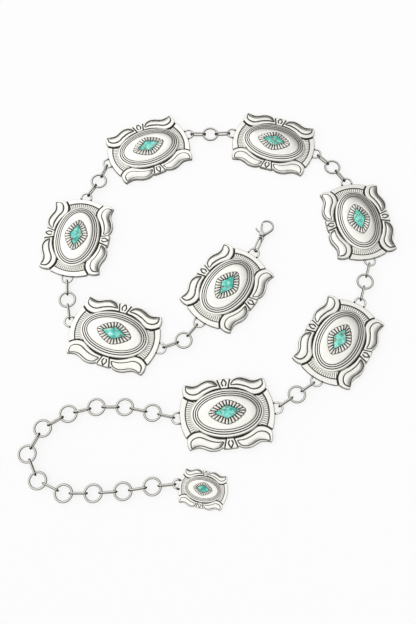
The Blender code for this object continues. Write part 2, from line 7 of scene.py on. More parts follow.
import json
from math import cos, pi, radians, sin

import bpy
import numpy as np
from mathutils import Matrix, Vector


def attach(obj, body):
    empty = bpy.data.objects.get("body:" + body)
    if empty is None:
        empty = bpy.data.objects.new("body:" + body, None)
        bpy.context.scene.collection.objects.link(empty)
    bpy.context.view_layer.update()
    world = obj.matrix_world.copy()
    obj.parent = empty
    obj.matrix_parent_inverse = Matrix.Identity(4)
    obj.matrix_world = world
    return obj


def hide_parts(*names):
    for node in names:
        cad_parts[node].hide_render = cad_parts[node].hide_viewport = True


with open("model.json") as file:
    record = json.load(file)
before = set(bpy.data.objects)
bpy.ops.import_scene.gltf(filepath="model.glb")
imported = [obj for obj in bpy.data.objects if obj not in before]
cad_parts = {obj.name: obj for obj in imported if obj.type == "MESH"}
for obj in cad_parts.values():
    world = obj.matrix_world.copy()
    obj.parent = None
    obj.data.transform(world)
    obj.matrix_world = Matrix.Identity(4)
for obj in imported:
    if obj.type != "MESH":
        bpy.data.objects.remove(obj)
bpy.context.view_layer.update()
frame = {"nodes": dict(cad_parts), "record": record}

MM = 0.001
UP = np.array((0.0, 0.0, 1.0))

# Steps along each cubic of a curve, and places that an even oval is read from
CURVE_STEPS = 8
FINE_STEPS = 1440

# Columns and rows that a concho's skin is woven from
FLUTES = 24
FLUTE_COLUMNS = 14
COLUMNS = FLUTES * FLUTE_COLUMNS
FRAME_ROWS = 36
TICK_COLUMNS = 7
RIDGE_ROWS = 9
DOME_ROWS = 12
COLLAR_ROWS = 21
DISH_ROWS = 6

# Levels of a concho's relief over the table
BACK_LEVEL = 0.05
EDGE_LEVEL = 1.2
MOAT_LEVEL = 2.15
RIM_LEVEL = 2.85
TICK_LEVEL = 2.5
TICK_RISE = 0.4
WING_LEVEL = 3.75
PILLOW_FOOT = 3.0
PILLOW_RISE = 1.65
KEYSTONE_LEVEL = 4.0
LEAF_DEPTH = 0.5
OVAL_WALL_LEVEL = 3.4
OVAL_EDGE_LEVEL = 4.1
OVAL_INNER_LEVEL = 5.4
RIDGE_RISE = 0.6
DOME_EDGE_LEVEL = 5.95
DOME_LEVEL = 6.85
COLLAR_FLOOR = 6.75
COLLAR_RISE = 1.4
SEAT_FLOOR = 6.85
SEAT_EDGE_LEVEL = 7.0
DISH_LIP = 0.1
DISH_DEPTH = 4.2

# Half sizes of the ovals, each as half length and half height. OVAL_GROOVES has half lengths only,
# and the half heights there are shorter by OVAL_SHORTER.
SEAT_MIDDLE = (5.3, 2.95)
SEAT = (10.65, 5.9)
SEAT_LIP = 0.1
COLLAR = (15.0, 10.15)
OVAL_GROOVES = (23.6, 25.35, 27.1, 29.3)
OVAL_SHORTER = 9.8
OVAL_WALL = (29.4, 19.6)
OVAL_FOOT = (29.45, 19.65)
BAND_LINE = (33.4, 30.7)
DISH_OUTSIDE = (27.6, 17.0)
DISH_EDGE = (26.5, 15.9)
DISH_FLOOR = (20.0, 12.0)
DISH_INSIDE = (12.0, 7.2)
DISH_MIDDLE = (5.0, 3.0)

# Powers of the ovals: 2 is an ellipse and 1 a lozenge
ELLIPSE = 2.0
STONE_POWER = 1.06
STONE_TOP_POWER = 1.5
COLLAR_POWER = 1.45

# Stone: half sizes, shares of them at its rows, and levels. The last rows are each a share and a
# level.
STONE = (10.2, 5.45)
STONE_COLUMNS = 96
STONE_SHARES = (0.12, 0.2, 0.3, 0.4, 0.5, 0.6, 0.7, 0.8, 0.88, 0.94, 0.98, 1.0)
STONE_TIP = 0.12
STONE_FALL = 1.2
GIRDLE_LEVEL = 7.5
CROWN_HEIGHT = 1.97
STONE_UNDER = ((1.0, 7.3), (0.98, 7.1), (0.5, 7.05))
# Shares of the stone's reach between which painted shade darkens its edge where it meets the collar
STONE_EDGE_SHADE = (0.9, 1.02)

# Quarter of the outline, between the middle of the rim and the middle of the keystone
HALF_LENGTH = 38.0
RIM_POINTS = (
    (HALF_LENGTH, 0.0), (37.92, 2.5), (37.69, 5.0), (37.2, 8.0), (36.57, 10.7), (35.7, 13.5),
    (35.0, 15.6),
)
WING_SIDE = (
    (33.6, 17.2), (33.75, 18.8), (33.9, 20.5), (33.75, 22.3), (33.4, 23.8), (32.8, 25.3),
    (32.0, 26.6),
)
WING_TOP = (
    (32.0, 26.6), (30.4, 26.1), (28.6, 25.7), (25.0, 25.3), (21.2, 26.5),
    (17.2, 28.4), (13.0, 29.1), (9.2, 28.6), (6.4, 27.2),
)
KEYSTONE_TOP = ((6.4, 27.2), (5.4, 28.3), (2.8, 28.45), (0.0, 28.5))
WING_INNER = (
    (3.3, 20.4), (6.6, 20.1), (10.0, 19.4), (15.0, 17.4), (19.0, 14.9), (22.0, 13.1),
    (25.0, 12.8), (28.0, 13.3), (31.0, 14.8), (33.6, 17.0),
)
KEYSTONE_SIDE = ((2.8, 19.6), (3.3, 21.5), (4.2, 24.5), (4.9, 26.8), (5.3, 29.4))
KEYSTONE_CORNER = (5.6, 19.5)
OUTLINE_MARGIN = 1.02
PILLOW = (
    (5.7, 22.8), (6.5, 24.8), (8.7, 26.8), (12.8, 27.6), (17.0, 26.5), (21.0, 24.6), (24.0, 23.9),
    (27.0, 24.2), (30.4, 25.2), (31.0, 23.0), (30.8, 20.5), (29.0, 18.5), (27.0, 17.6),
    (24.5, 17.2), (21.5, 17.8), (18.0, 19.8), (14.0, 21.5), (10.0, 22.5),
)
PILLOW_OUTER = 8
LEAF = ((0.0, 27.9), (0.9, 26.5), (1.8, 24.7), (1.5, 23.2), (1.0, 22.3))

# Shares of the outline's reach and levels of the rows down a concho's side and under it
SIDE_REACH = (1.0, 1.0, 0.992, 0.93)
SIDE_LEVELS = (0.7, 0.3, BACK_LEVEL, BACK_LEVEL)

# Ribs of the collar: width beside the stone and what it gains outwards, fall, the shares where the
# end starts and stops and how much sooner that is beside a groove, and the stain between them
RIB_WIDTH, RIB_WIDENING, RIB_FALL = 0.66, 0.23, 0.22
RIB_TURN, RIB_TURN_SOONER = 0.74, 0.3
RIB_STOP, RIB_STOP_SOONER = 0.97, 0.16
FLUTE_STAIN, RIB_CLEAN = 1.2, 2.7
COLLAR_FADE, COLLAR_FADE_END = 0.7, 1.03

# Roundness of the dome and of the ridges
DOME_CURVE = 0.6
RIDGE_POWER = 2.4

# Widths over which the forms of the frame round off
BAND_GAP = 0.15
RIM_ROUND = 0.9
WING_ROUND = 1.2
PILLOW_GROOVE = 0.8
PILLOW_FAR = 3.8
PILLOW_NEAR = 1.1
KEYSTONE_FOOT = 0.6
KEYSTONE_ROUND = 0.9
LEAF_GROOVE = 0.4
EDGE_ROUND = 0.9

# Distances, and for the phase shares of half a tick, between which ticks, moat and stain fade
BAR_PHASE, BAR_FROM_BAND, BAR_FROM_OVAL = (0.15, 0.5), (0.5, 0.8), (0.6, 1.0)
GROOVE_PHASE, GROOVE_FROM_BAND, GROOVE_FROM_OVAL = (0.1, 0.45), (0.4, 0.7), (0.7, 1.1)
FLOOR_FROM_WING, FLOOR_FROM_OVAL = (0.5, 1.1), (0.1, 0.6)
MOAT_FROM_WING, MOAT_FROM_OVAL = (0.75, 1.15), (0.0, 0.45)
BAND_FROM_WING = (0.2, 0.8)
KEYSTONE_FROM_OVAL = (0.6, 1.0)
RECESS_FROM_OUTLINE = (0.0, 0.5)

# Stain in the lines of a concho, each as its depth and its width, and on its surfaces. The line
# along the outline and the values down the sides are painted shade where the edge turns down, and
# the back is a little darker.
BAND_STAIN = (1.15, 0.48)
PILLOW_STAIN = (1.0, 0.46)
WING_SIDE_STAIN = (1.0, 0.5)
WING_STAIN = (1.0, 0.62)
KEYSTONE_STAIN = (1.0, 0.55)
LEAF_STAIN = (1.2, 0.55)
EDGE_PAINTED_SHADE = (0.62, 0.5)
RIDGE_STAIN = (1.2, 0.44)
DOME_EDGE_STAIN = (0.85, 0.06)
COLLAR_EDGE_STAIN = (0.55, 0.05)
GROOVE_STAIN = 0.8
MOAT_STAIN = 0.85
WALL_STAIN = (0.1, 0.95)
BACK_DARKENING = 0.12
SIDE_PAINTED_SHADE = (EDGE_PAINTED_SHADE[0], EDGE_PAINTED_SHADE[0], 0.4, BACK_DARKENING)
LAST_RIDGE = (28.8, 29.2)
WALL_BY_WING = (10.0, 13.5)

# Wires, links and the chain, as the frame has them
LOOP_WIRE = 0.8
LOOP_RADIUS = 4.4
LOOP_STRAIGHT = 1.8
SMALL_LOOP_RADIUS = 3.4
SMALL_LOOP_STRAIGHT = 0.8
LOOP_ROOT = 1.6
LOOP_RISING = (-0.6, 0.4)
LOOP_SIDES = 16
BOW_POINTS = 15
LEG_POINTS = 4
ROOT_LEVEL = 1.95
RING_WIRE = 0.88
RING_RADIUS = 6.6
RING_CURVE = 6.5
RING_POINTS = 56
RING_SIDES = 20
LINK_WIRE = 0.75
LINK_REACH = 9.4
LINK_STRAND = 1.95
LINK_SIDES = 16
LINK_BOW_POINTS = 13
STRAND_POINTS = 6
CLASP_LINK_STRAND = 2.3
CLASP_LINK_ROLL = 35.0
WIRE_LEVEL = 2.7
SMALL_SHARE = 0.5
CHAIN_ROUTE = (167.5, 168.3, 180.2, 194.3, 211.3, 243.3, 296.0, 335.2, 0.3, 4.0, 9.2, 6.0)

# Painted shade on the wires: its depth, how far from up and from down their surface has to turn for
# it, and, as cosines, how far towards the inside of a bend, where painted shade marks where wires
# meet. ROOT_FADE is measured from the rim, where a painted shadow lies at the loops' legs, and
# TURNED_FADE down from the top of a turned piece, whose lower part gets painted shade.
WIRE_PAINTED_SHADE = 0.85
SHADE_FROM_UP = (-0.99, -0.6)
SHADE_FROM_DOWN = (0.2, 0.8)
SHADE_INWARD = (0.1, 0.8)
RING_INNER = 0.5
LINK_INNER = 1.1
ROOT_PAINTED_SHADOW = 0.8
ROOT_FADE = (-0.1, 1.2)
TURNED_FADE = (0.1, 0.35)
TURNED_COLUMNS = 32

# Clasp, about the middle of its eye with the hook along +Y
PIVOT = (-1.6, 4.356)
SHOULDER_RADIUS = 2.2
CLASP_FOOT = 0.02
CLASP_THICKNESS = 4.2
# Share of painted shade on the clasp's sides, undersides and inner bends; the inner values below
# paint shade inside the eye and the hook's bend
CLASP_PAINTED_SHADE = 0.72
CHEEK = 0.95
PIN_RADIUS, PIN_LOW, PIN_HIGH = 0.5, 0.5, 3.7
WALL_OFFSET, WALL_RADIUS, WALL_GAP = (1.55, 0.9), 1.0, 0.35
EYE_RADIUS = 1.8
EYE_WIRE = 0.55
EYE_POINTS = 40
EYE_INNER = 0.8
HOOK_CENTRE = 12.856
HOOK_RADIUS = 5.5
HOOK_START, HOOK_END = -38.0, 158.0
HOOK_POINTS = 30
HOOK_INNER = 0.45
HOOK_WIDTH, HOOK_NARROWER, TIP_NARROWER = 1.1, 0.3, 0.1
HOOK_DEPTH, HOOK_FLATTER = 1.6, 0.4
NECK = ((-0.9, 3.9), (0.5, 4.6), (2.6, 6.6))
HUB_RADIUS = 1.3
LEVER_LOW = 1.3
LEVER_HIGH = 2.9
LEVER_DEPTH = 0.75
ARM_WIDTH = 0.75
ARM_FOOT = (0.0, 0.6)
ARM_BEND = 0.4
ARM_SHARE = 0.94
TAB_WIDTH = 0.6
TAB_FOOT = (-0.6, 0.2)
TAB_SHARES = ((0.48, 0.3), (0.75, 0.58))
TAB_END = (-6.8, 3.5)
SLOT = ((0.9, 1.3), (1.5, 2.4), (2.15, 3.5))
SLOT_LEVEL = 3.3
SLOT_WIDTH = 0.45

# Colours
CAST_COLOUR = (0.935, 0.925, 0.87)
WIRE_COLOUR = (0.72, 0.705, 0.65)
CLASP_COLOUR = (0.66, 0.65, 0.62)
# Black-brown of oxide in hollows, also used for painted shade
OXIDE_AND_SHADE_COLOUR = (0.045, 0.034, 0.024)
# Near-black of the painted shade round the stone's edge
STONE_SHADE_COLOUR = (0.03, 0.035, 0.025)
STONE_COLOURS = (
    (0.28, (0.01, 0.3, 0.26)), (0.42, (0.07, 0.62, 0.52)),
    (0.55, (0.28, 0.9, 0.77)), (0.68, (0.8, 1.0, 0.93)),
)
VEIN_COLOURS = ((0.4, (0.13, 0.07, 0.03)), (0.6, (0.36, 0.25, 0.09)))

# Studio, in metres and watts. The sky's grey is read off SKY_STOPS at the place SKY_LIFT plus each
# share times the direction's Z, Y and X.
FLOOR_SIZE = 40.0
FLOOR_LEVEL = -0.0002
FLOOR_GREY = 0.3
FLOOR_GLOW = 0.715
SKY_LIFT = 0.29
SKY_SHARES = (("Z", 0.7), ("Y", -0.12), ("X", -0.42))
SKY_STOPS = ((0.0, 0.13), (0.3, 0.18), (0.5, 0.34), (0.66, 0.76), (0.78, 1.0), (1.0, 1.1))
LIGHTS = (
    ("back_light", (-0.75, 1.0, 0.95), 1.8, 2.2),
    ("side_light", (1.25, 0.15, 0.8), 1.3, 1.0),
)
CAMERA_PLACE = (-0.00845, -0.2474, 0.5653)
CAMERA_TARGET = (-0.00845, -0.01948, 0.0)
CAMERA_ROLL = 0.22
SENSOR_WIDTH = 36.0
PHOTO_HEIGHT = 624.0
FOCAL_PIXELS = 724.0


# Lines and grids

def cubic(a, b, c, d, steps):
    """Places at even shares t of the way along the cubic from b to c, whose slopes at both ends are
    half the step from the point before to the point after (Catmull-Rom)."""
    t = (np.arange(steps) / steps)[None, :, None]
    square, cube = (2 * a - 5 * b + 4 * c - d) * t**2, (3 * b - a - 3 * c + d) * t**3
    return 0.5 * (2 * b + (c - a) * t + square + cube)


def curved(points, steps=CURVE_STEPS):
    """A smooth line through the points, a cubic between each two of them."""
    p = np.asarray(points, float)
    ends = np.vstack((2 * p[0] - p[1], p, 2 * p[-1] - p[-2]))
    a, b, c, d = (ends[i:len(ends) - 3 + i, None] for i in range(4))
    return np.vstack((cubic(a, b, c, d, steps).reshape(-1, p.shape[1]), p[-1:]))


def curved_loop(points):
    """A smooth closed line through the points, by the same cubics with the ends wrapped round."""
    p = np.asarray(points, float)
    a, b, c, d = (np.roll(p, shift, 0)[:, None] for shift in (1, 0, -1, -2))
    return cubic(a, b, c, d, CURVE_STEPS).reshape(-1, p.shape[1])


def circle(radius, level, count):
    """Points evenly round a level circle."""
    t = np.linspace(0, 2 * pi, count + 1)[:-1]
    return np.stack((radius * np.cos(t), radius * np.sin(t), np.full(count, level)), -1)


def at_level(line, level):
    """A flat line laid at a level."""
    return np.column_stack((line, np.full(len(line), level)))


def distance_to(x, y, line):
    """Distance from each point to a line of straight pieces. On the piece from p to q the nearest
    spot lies at the share (point - p).(q - p) / |q - p|^2, held between 0 and 1."""
    best = np.full(x.shape, np.inf)
    for (px, py), (qx, qy) in zip(line[:-1], line[1:]):
        dx, dy = qx - px, qy - py
        share = np.clip(((x - px) * dx + (y - py) * dy) / (dx * dx + dy * dy), 0, 1)
        best = np.minimum(best, np.hypot(x - px - share * dx, y - py - share * dy))
    return best


def inside(x, y, loop):
    """True where a ray to the right of the point crosses the closed line an odd number of times."""
    crossings = np.zeros(x.shape, int)
    for (px, py), (qx, qy) in zip(loop, np.roll(loop, -1, 0)):
        if py != qy:
            crossings += ((py > y) != (qy > y)) & (x < px + (y - py) / (qy - py) * (qx - px))
    return crossings % 2 == 1


def between(first, last, share):
    """The value at a share of the way from the first to the last."""
    return first + (last - first) * share


def rounded(distance, width):
    """Quarter of a circle: 0 at distance 0, rising to 1 at the width, sqrt(1 - (1 - d/w)^2)."""
    return np.sqrt(1 - (1 - np.clip(distance / width, 0, 1)) ** 2)


def smooth(value, low, high):
    """0 below low, 1 above high, and 3t^2 - 2t^3 between."""
    t = np.clip((value - low) / (high - low), 0, 1)
    return t * t * (3 - 2 * t)


def lined(distance, depth, width):
    """Dark line, oxide in grooves and painted shade at the outline: depth times exp(-(d/w)^2)."""
    return depth * np.exp(-(distance / width) ** 2)


def even_oval(half_length, half_height, power, count):
    """Points evenly spaced along |x/a|^n + |y/b|^n = 1, from its right end on: the reach at the
    angle t is (|cos t/a|^n + |sin t/b|^n)^(-1/n), read at equal shares of the length travelled."""
    t = np.linspace(0, 2 * pi, FINE_STEPS + 1)
    c, s = np.cos(t), np.sin(t)
    reach = (np.abs(c / half_length) ** power + np.abs(s / half_height) ** power) ** (-1 / power)
    x, y = reach * c, reach * s
    travelled = np.concatenate(([0], np.cumsum(np.hypot(np.diff(x), np.diff(y)))))
    wanted = travelled[-1] * np.arange(count) / count
    return np.interp(wanted, travelled, x), np.interp(wanted, travelled, y)


def oval_rows(a, b, power, count):
    """Rows of even ovals, one for each value in the arrays, as two arrays of x and y."""
    rings = [even_oval(*values, count) for values in zip(a, b, power)]
    return np.array([ring[0] for ring in rings]), np.array([ring[1] for ring in rings])


# Skins

def woven(rows, columns, start):
    """Faces between rows of one skin: row i, column j with row i + 1 and column j + 1."""
    i, j = np.meshgrid(np.arange(rows - 1), np.arange(columns), indexing="ij")
    k = (j + 1) % columns
    corners = (i * columns + j, (i + 1) * columns + j, (i + 1) * columns + k, i * columns + k)
    return start + np.stack(corners, -1).reshape(-1, 4)


def widened(inner, outer, count):
    """Triangles from a ring of count points, starting at inner, to a ring of twice as many."""
    j = np.arange(count)
    a, a_next = inner + j, inner + (j + 1) % count
    b, b_half, b_next = outer + 2 * j, outer + 2 * j + 1, outer + (2 * j + 2) % (2 * count)
    sets = ((a, b, b_half), (a, b_half, a_next), (a_next, b_half, b_next))
    return np.vstack([np.stack(corners, -1) for corners in sets])


def capped(pole, ring, count):
    """Triangles from a pole to the ring of points round it."""
    j = np.arange(count)
    return np.stack((np.full(count, pole), ring + j, ring + (j + 1) % count), -1)


def skin(points, faces, oxide_and_painted_shade):
    """A closed surface: its points, arrays of faces, and each point's share of oxide and painted
    shade. Its faces look outwards where the sum of p . (q x r) over their triangles is above 0, so
    they are turned over where it is below."""
    fans = [part[:, [0, i, i + 1]] for part in faces for i in range(1, part.shape[1] - 1)]
    p, q, r = (points[np.vstack(fans)[:, i]] for i in range(3))
    if np.einsum("ij,ij->", p, np.cross(q, r)) < 0:
        faces = [part[:, ::-1] for part in faces]
    return points, faces, oxide_and_painted_shade


def grid_skin(x, y, z, oxide_and_painted_shade):
    """A closed skin from rows of points, with a pole at the middle of the first and last rows."""
    rows, columns = x.shape
    body = np.stack((x, y, z), -1).reshape(-1, 3)
    poles = np.array([body[:columns].mean(0), body[-columns:].mean(0)])
    faces = [
        woven(rows, columns, 0),
        capped(len(body), 0, columns),
        capped(len(body) + 1, len(body) - columns, columns)[:, ::-1],
    ]
    oxide_and_painted_shade = np.concatenate((oxide_and_painted_shade.reshape(-1), [oxide_and_painted_shade[0].mean(), oxide_and_painted_shade[-1].mean()]))
    return skin(np.vstack((body, poles)), faces, oxide_and_painted_shade)


def tube(path, side, rise, sides=12, closed=True, up=UP, inner=0.0):
    """A wire along a line. Round each point p of the line run the points
    p + side cos(t) (n x tangent) + rise sin(t) n, with n along +Z and the tangent laid level.
    Painted shade lies along the sides, between up and down, and by the share inner, painted shade
    where the wire faces the inside of the line."""
    if closed:
        along = np.roll(path, -1, 0) - np.roll(path, 1, 0)
    else:
        along = np.gradient(path, axis=0)
    along -= np.outer(along @ UP, UP)
    along /= np.linalg.norm(along, axis=1)[:, None]
    across = np.cross(UP, along)
    t = np.arange(sides) * 2 * pi / sides
    side, rise = np.broadcast_to(side, len(path)), np.broadcast_to(rise, len(path))
    points = path[:, None] + side[:, None, None] * np.cos(t)[None, :, None] * across[:, None]
    points = points + rise[:, None, None] * np.sin(t)[None, :, None] * UP
    way = np.cos(t)[None, :, None] * across[:, None] + np.sin(t)[None, :, None] * UP
    fall = -(way @ np.asarray(up, float))
    # Painted shade on the sides that turn away from up
    shade_and_oxide_amount = WIRE_PAINTED_SHADE * smooth(fall, *SHADE_FROM_UP) * (1 - smooth(fall, *SHADE_FROM_DOWN))
    inner = np.broadcast_to(inner, len(path))[:, None]
    # Painted shade on the side facing the inside of the bend, where wires meet
    shade_and_oxide_amount = np.maximum(shade_and_oxide_amount, inner * smooth(np.cos(t), *SHADE_INWARD)[None, :])
    if not closed:
        return grid_skin(points[..., 0], points[..., 1], points[..., 2], shade_and_oxide_amount)
    faces = woven(len(path) + 1, sides, 0) % (len(path) * sides)
    return skin(points.reshape(-1, 3), [faces], shade_and_oxide_amount.reshape(-1))


def turned(radius, level, x, y):
    """A turned piece: circles of the given radii at the given levels, round a point, with painted
    shade below and round its rim."""
    t = np.arange(TURNED_COLUMNS) * 2 * pi / TURNED_COLUMNS
    radius, level = radius[:, None], level[:, None]
    # Painted shade, deeper down from the top
    shade_and_oxide_amount = WIRE_PAINTED_SHADE * smooth(level.max() - level, *TURNED_FADE) + 0 * t
    return grid_skin(x + radius * np.cos(t), y + radius * np.sin(t), level + 0 * t, shade_and_oxide_amount)


def button(x, y, radius, low, high, edge):
    """A turned disc with quarter-round edges."""
    t = np.linspace(0, pi / 2, 5)
    core = [radius * 0.3]
    r = np.concatenate(
        (core, radius - edge + edge * np.sin(t), radius - edge + edge * np.cos(t), core))
    z = np.concatenate(
        ([low], low + edge - edge * np.cos(t), high - edge + edge * np.sin(t), [high]))
    return turned(r, z, x, y)


def mesh_from(name, skins):
    """One mesh from several skins, all in metres, shaded smooth, with the share of oxide and
    painted shade on its points.
    """
    points, faces, oxide_and_painted_shade = [], [], []
    for part_points, part_faces, part_recess in skins:
        start = sum(map(len, points))
        points.append(part_points * MM)
        oxide_and_painted_shade.append(part_recess)
        for part in part_faces:
            faces += (start + part).tolist()
    mesh = bpy.data.meshes.new(name)
    mesh.from_pydata(np.vstack(points).tolist(), [], faces)
    attribute = mesh.attributes.new("oxide_and_painted_shade", "FLOAT", "POINT")
    attribute.data.foreach_set("value", np.concatenate(oxide_and_painted_shade).astype(np.float32))
    mesh.shade_smooth()
    mesh.validate()
    return mesh


# Concho

def quarter_outline():
    """The outline of one quarter, from the middle of the rim to the middle of the keystone."""
    wing = curved(WING_SIDE), curved(WING_TOP)[1:]
    return np.vstack((curved(RIM_POINTS, 4), *wing, KEYSTONE_TOP[1:]))


def wing_loop():
    """A closed line round the wing: its inner edge, its outer edge moved out a little, so that all
    of the wing lies inside, and the keystone's side."""
    outline = np.vstack((curved(WING_SIDE)[1:], curved(WING_TOP)[1:-1]))
    return np.vstack((curved(WING_INNER), outline * OUTLINE_MARGIN, curved(KEYSTONE_SIDE)[::-1]))


def frame_relief(x, y, column):
    """Level, and oxide and painted shade, of the frame round the oval, mirrored in both axes.

    Each form rises from its own edge by a quarter circle of the distance to it: the wing from the
    moat and the keystone's side, the pillow from the near side of its groove, the keystone from its
    sides, the rim from the line round the ticks. To the far side of its groove the pillow falls by
    1 - (1 - d/w)^2. The ticks rise and fall with the column. All of it falls by a quarter circle to
    the outline, which has a line of painted shade along it.
    """
    x, y = np.abs(x), np.abs(y)
    from_outline = distance_to(x, y, quarter_outline())
    from_inner = distance_to(x, y, curved(WING_INNER))
    from_side = distance_to(x, y, curved(KEYSTONE_SIDE))
    pillow_line = np.vstack((curved_loop(PILLOW), PILLOW[:1]))
    outer_part = CURVE_STEPS * PILLOW_OUTER
    from_far_side = distance_to(x, y, pillow_line[:outer_part + 1])
    from_near_side = distance_to(x, y, pillow_line[outer_part:])
    from_pillow = np.minimum(from_far_side, from_near_side)
    from_leaf = distance_to(x, y, curved(LEAF))
    from_oval = (np.hypot(x / OVAL_FOOT[0], y / OVAL_FOOT[1]) - 1) * np.hypot(x, y)
    from_band = (np.hypot(x / BAND_LINE[0], y / BAND_LINE[1]) - 1) * np.hypot(x, y)

    in_wing = inside(x, y, wing_loop())
    in_keystone = ~in_wing & (x < KEYSTONE_CORNER[0]) & (y > KEYSTONE_CORNER[1])
    in_pillow = inside(x, y, curved_loop(PILLOW))

    rim = MOAT_LEVEL + (RIM_LEVEL - MOAT_LEVEL) * rounded(np.abs(from_band) + BAND_GAP, RIM_ROUND)
    phase = np.abs(((column + 0.5) / TICK_COLUMNS) % 1.0 * 2 - 1)
    bar = smooth(phase, *BAR_PHASE) * smooth(-from_band, *BAR_FROM_BAND)
    bar = bar * smooth(from_oval, *BAR_FROM_OVAL)
    z = np.where(from_band > 0, rim, TICK_LEVEL + TICK_RISE * bar)
    on_floor = smooth(from_inner, *FLOOR_FROM_WING) * smooth(from_oval, *FLOOR_FROM_OVAL)
    z = between(MOAT_LEVEL, z, on_floor)
    oxide_and_painted_shade = lined(from_band, *BAND_STAIN) * smooth(from_inner, *BAND_FROM_WING)
    grooves = (1 - smooth(phase, *GROOVE_PHASE)) * smooth(-from_band, *GROOVE_FROM_BAND)
    grooves = grooves * smooth(from_oval, *GROOVE_FROM_OVAL)
    oxide_and_painted_shade = np.maximum(oxide_and_painted_shade, GROOVE_STAIN * grooves)
    oxide_and_painted_shade = np.maximum(oxide_and_painted_shade, 1 - smooth(from_inner, *MOAT_FROM_WING))
    oxide_and_painted_shade = np.maximum(oxide_and_painted_shade, MOAT_STAIN * (1 - smooth(from_oval, *MOAT_FROM_OVAL)))

    edge = np.minimum(from_inner, from_side)
    wing = MOAT_LEVEL + (WING_LEVEL - MOAT_LEVEL) * rounded(edge, WING_ROUND)
    wing = wing - (WING_LEVEL - PILLOW_FOOT) * (1 - rounded(from_pillow, PILLOW_GROOVE))
    far_slope = 1 - (1 - np.clip(from_far_side / PILLOW_FAR, 0, 1)) ** 2
    near_slope = rounded(from_near_side, PILLOW_NEAR)
    pillow = PILLOW_FOOT + PILLOW_RISE * np.minimum(far_slope, near_slope)
    z = np.where(in_wing, np.where(in_pillow, pillow, wing), z)
    wing_recess = np.maximum(lined(from_pillow, *PILLOW_STAIN), lined(from_side, *WING_SIDE_STAIN))
    wing_recess = np.maximum(wing_recess, lined(from_inner, *WING_STAIN))
    oxide_and_painted_shade = np.where(in_wing, wing_recess, oxide_and_painted_shade)

    sides = np.minimum(from_side, np.maximum(from_oval - KEYSTONE_FOOT, 0))
    keystone = MOAT_LEVEL + (KEYSTONE_LEVEL - MOAT_LEVEL) * rounded(sides, KEYSTONE_ROUND)
    keystone = keystone - lined(from_leaf, LEAF_DEPTH, LEAF_GROOVE)
    key_recess = np.maximum(lined(from_side, *KEYSTONE_STAIN), lined(from_leaf, *LEAF_STAIN))
    key_recess = np.maximum(key_recess, 1 - smooth(from_oval, *KEYSTONE_FROM_OVAL))
    z = np.where(in_keystone, keystone, z)
    oxide_and_painted_shade = np.where(in_keystone, key_recess, oxide_and_painted_shade)

    z = EDGE_LEVEL + (z - EDGE_LEVEL) * rounded(from_outline, EDGE_ROUND)
    oxide_and_painted_shade = oxide_and_painted_shade * smooth(from_outline, *RECESS_FROM_OUTLINE)
    # Painted shade along the outline, where the edge turns down
    return z, np.maximum(oxide_and_painted_shade, lined(from_outline, *EDGE_PAINTED_SHADE))


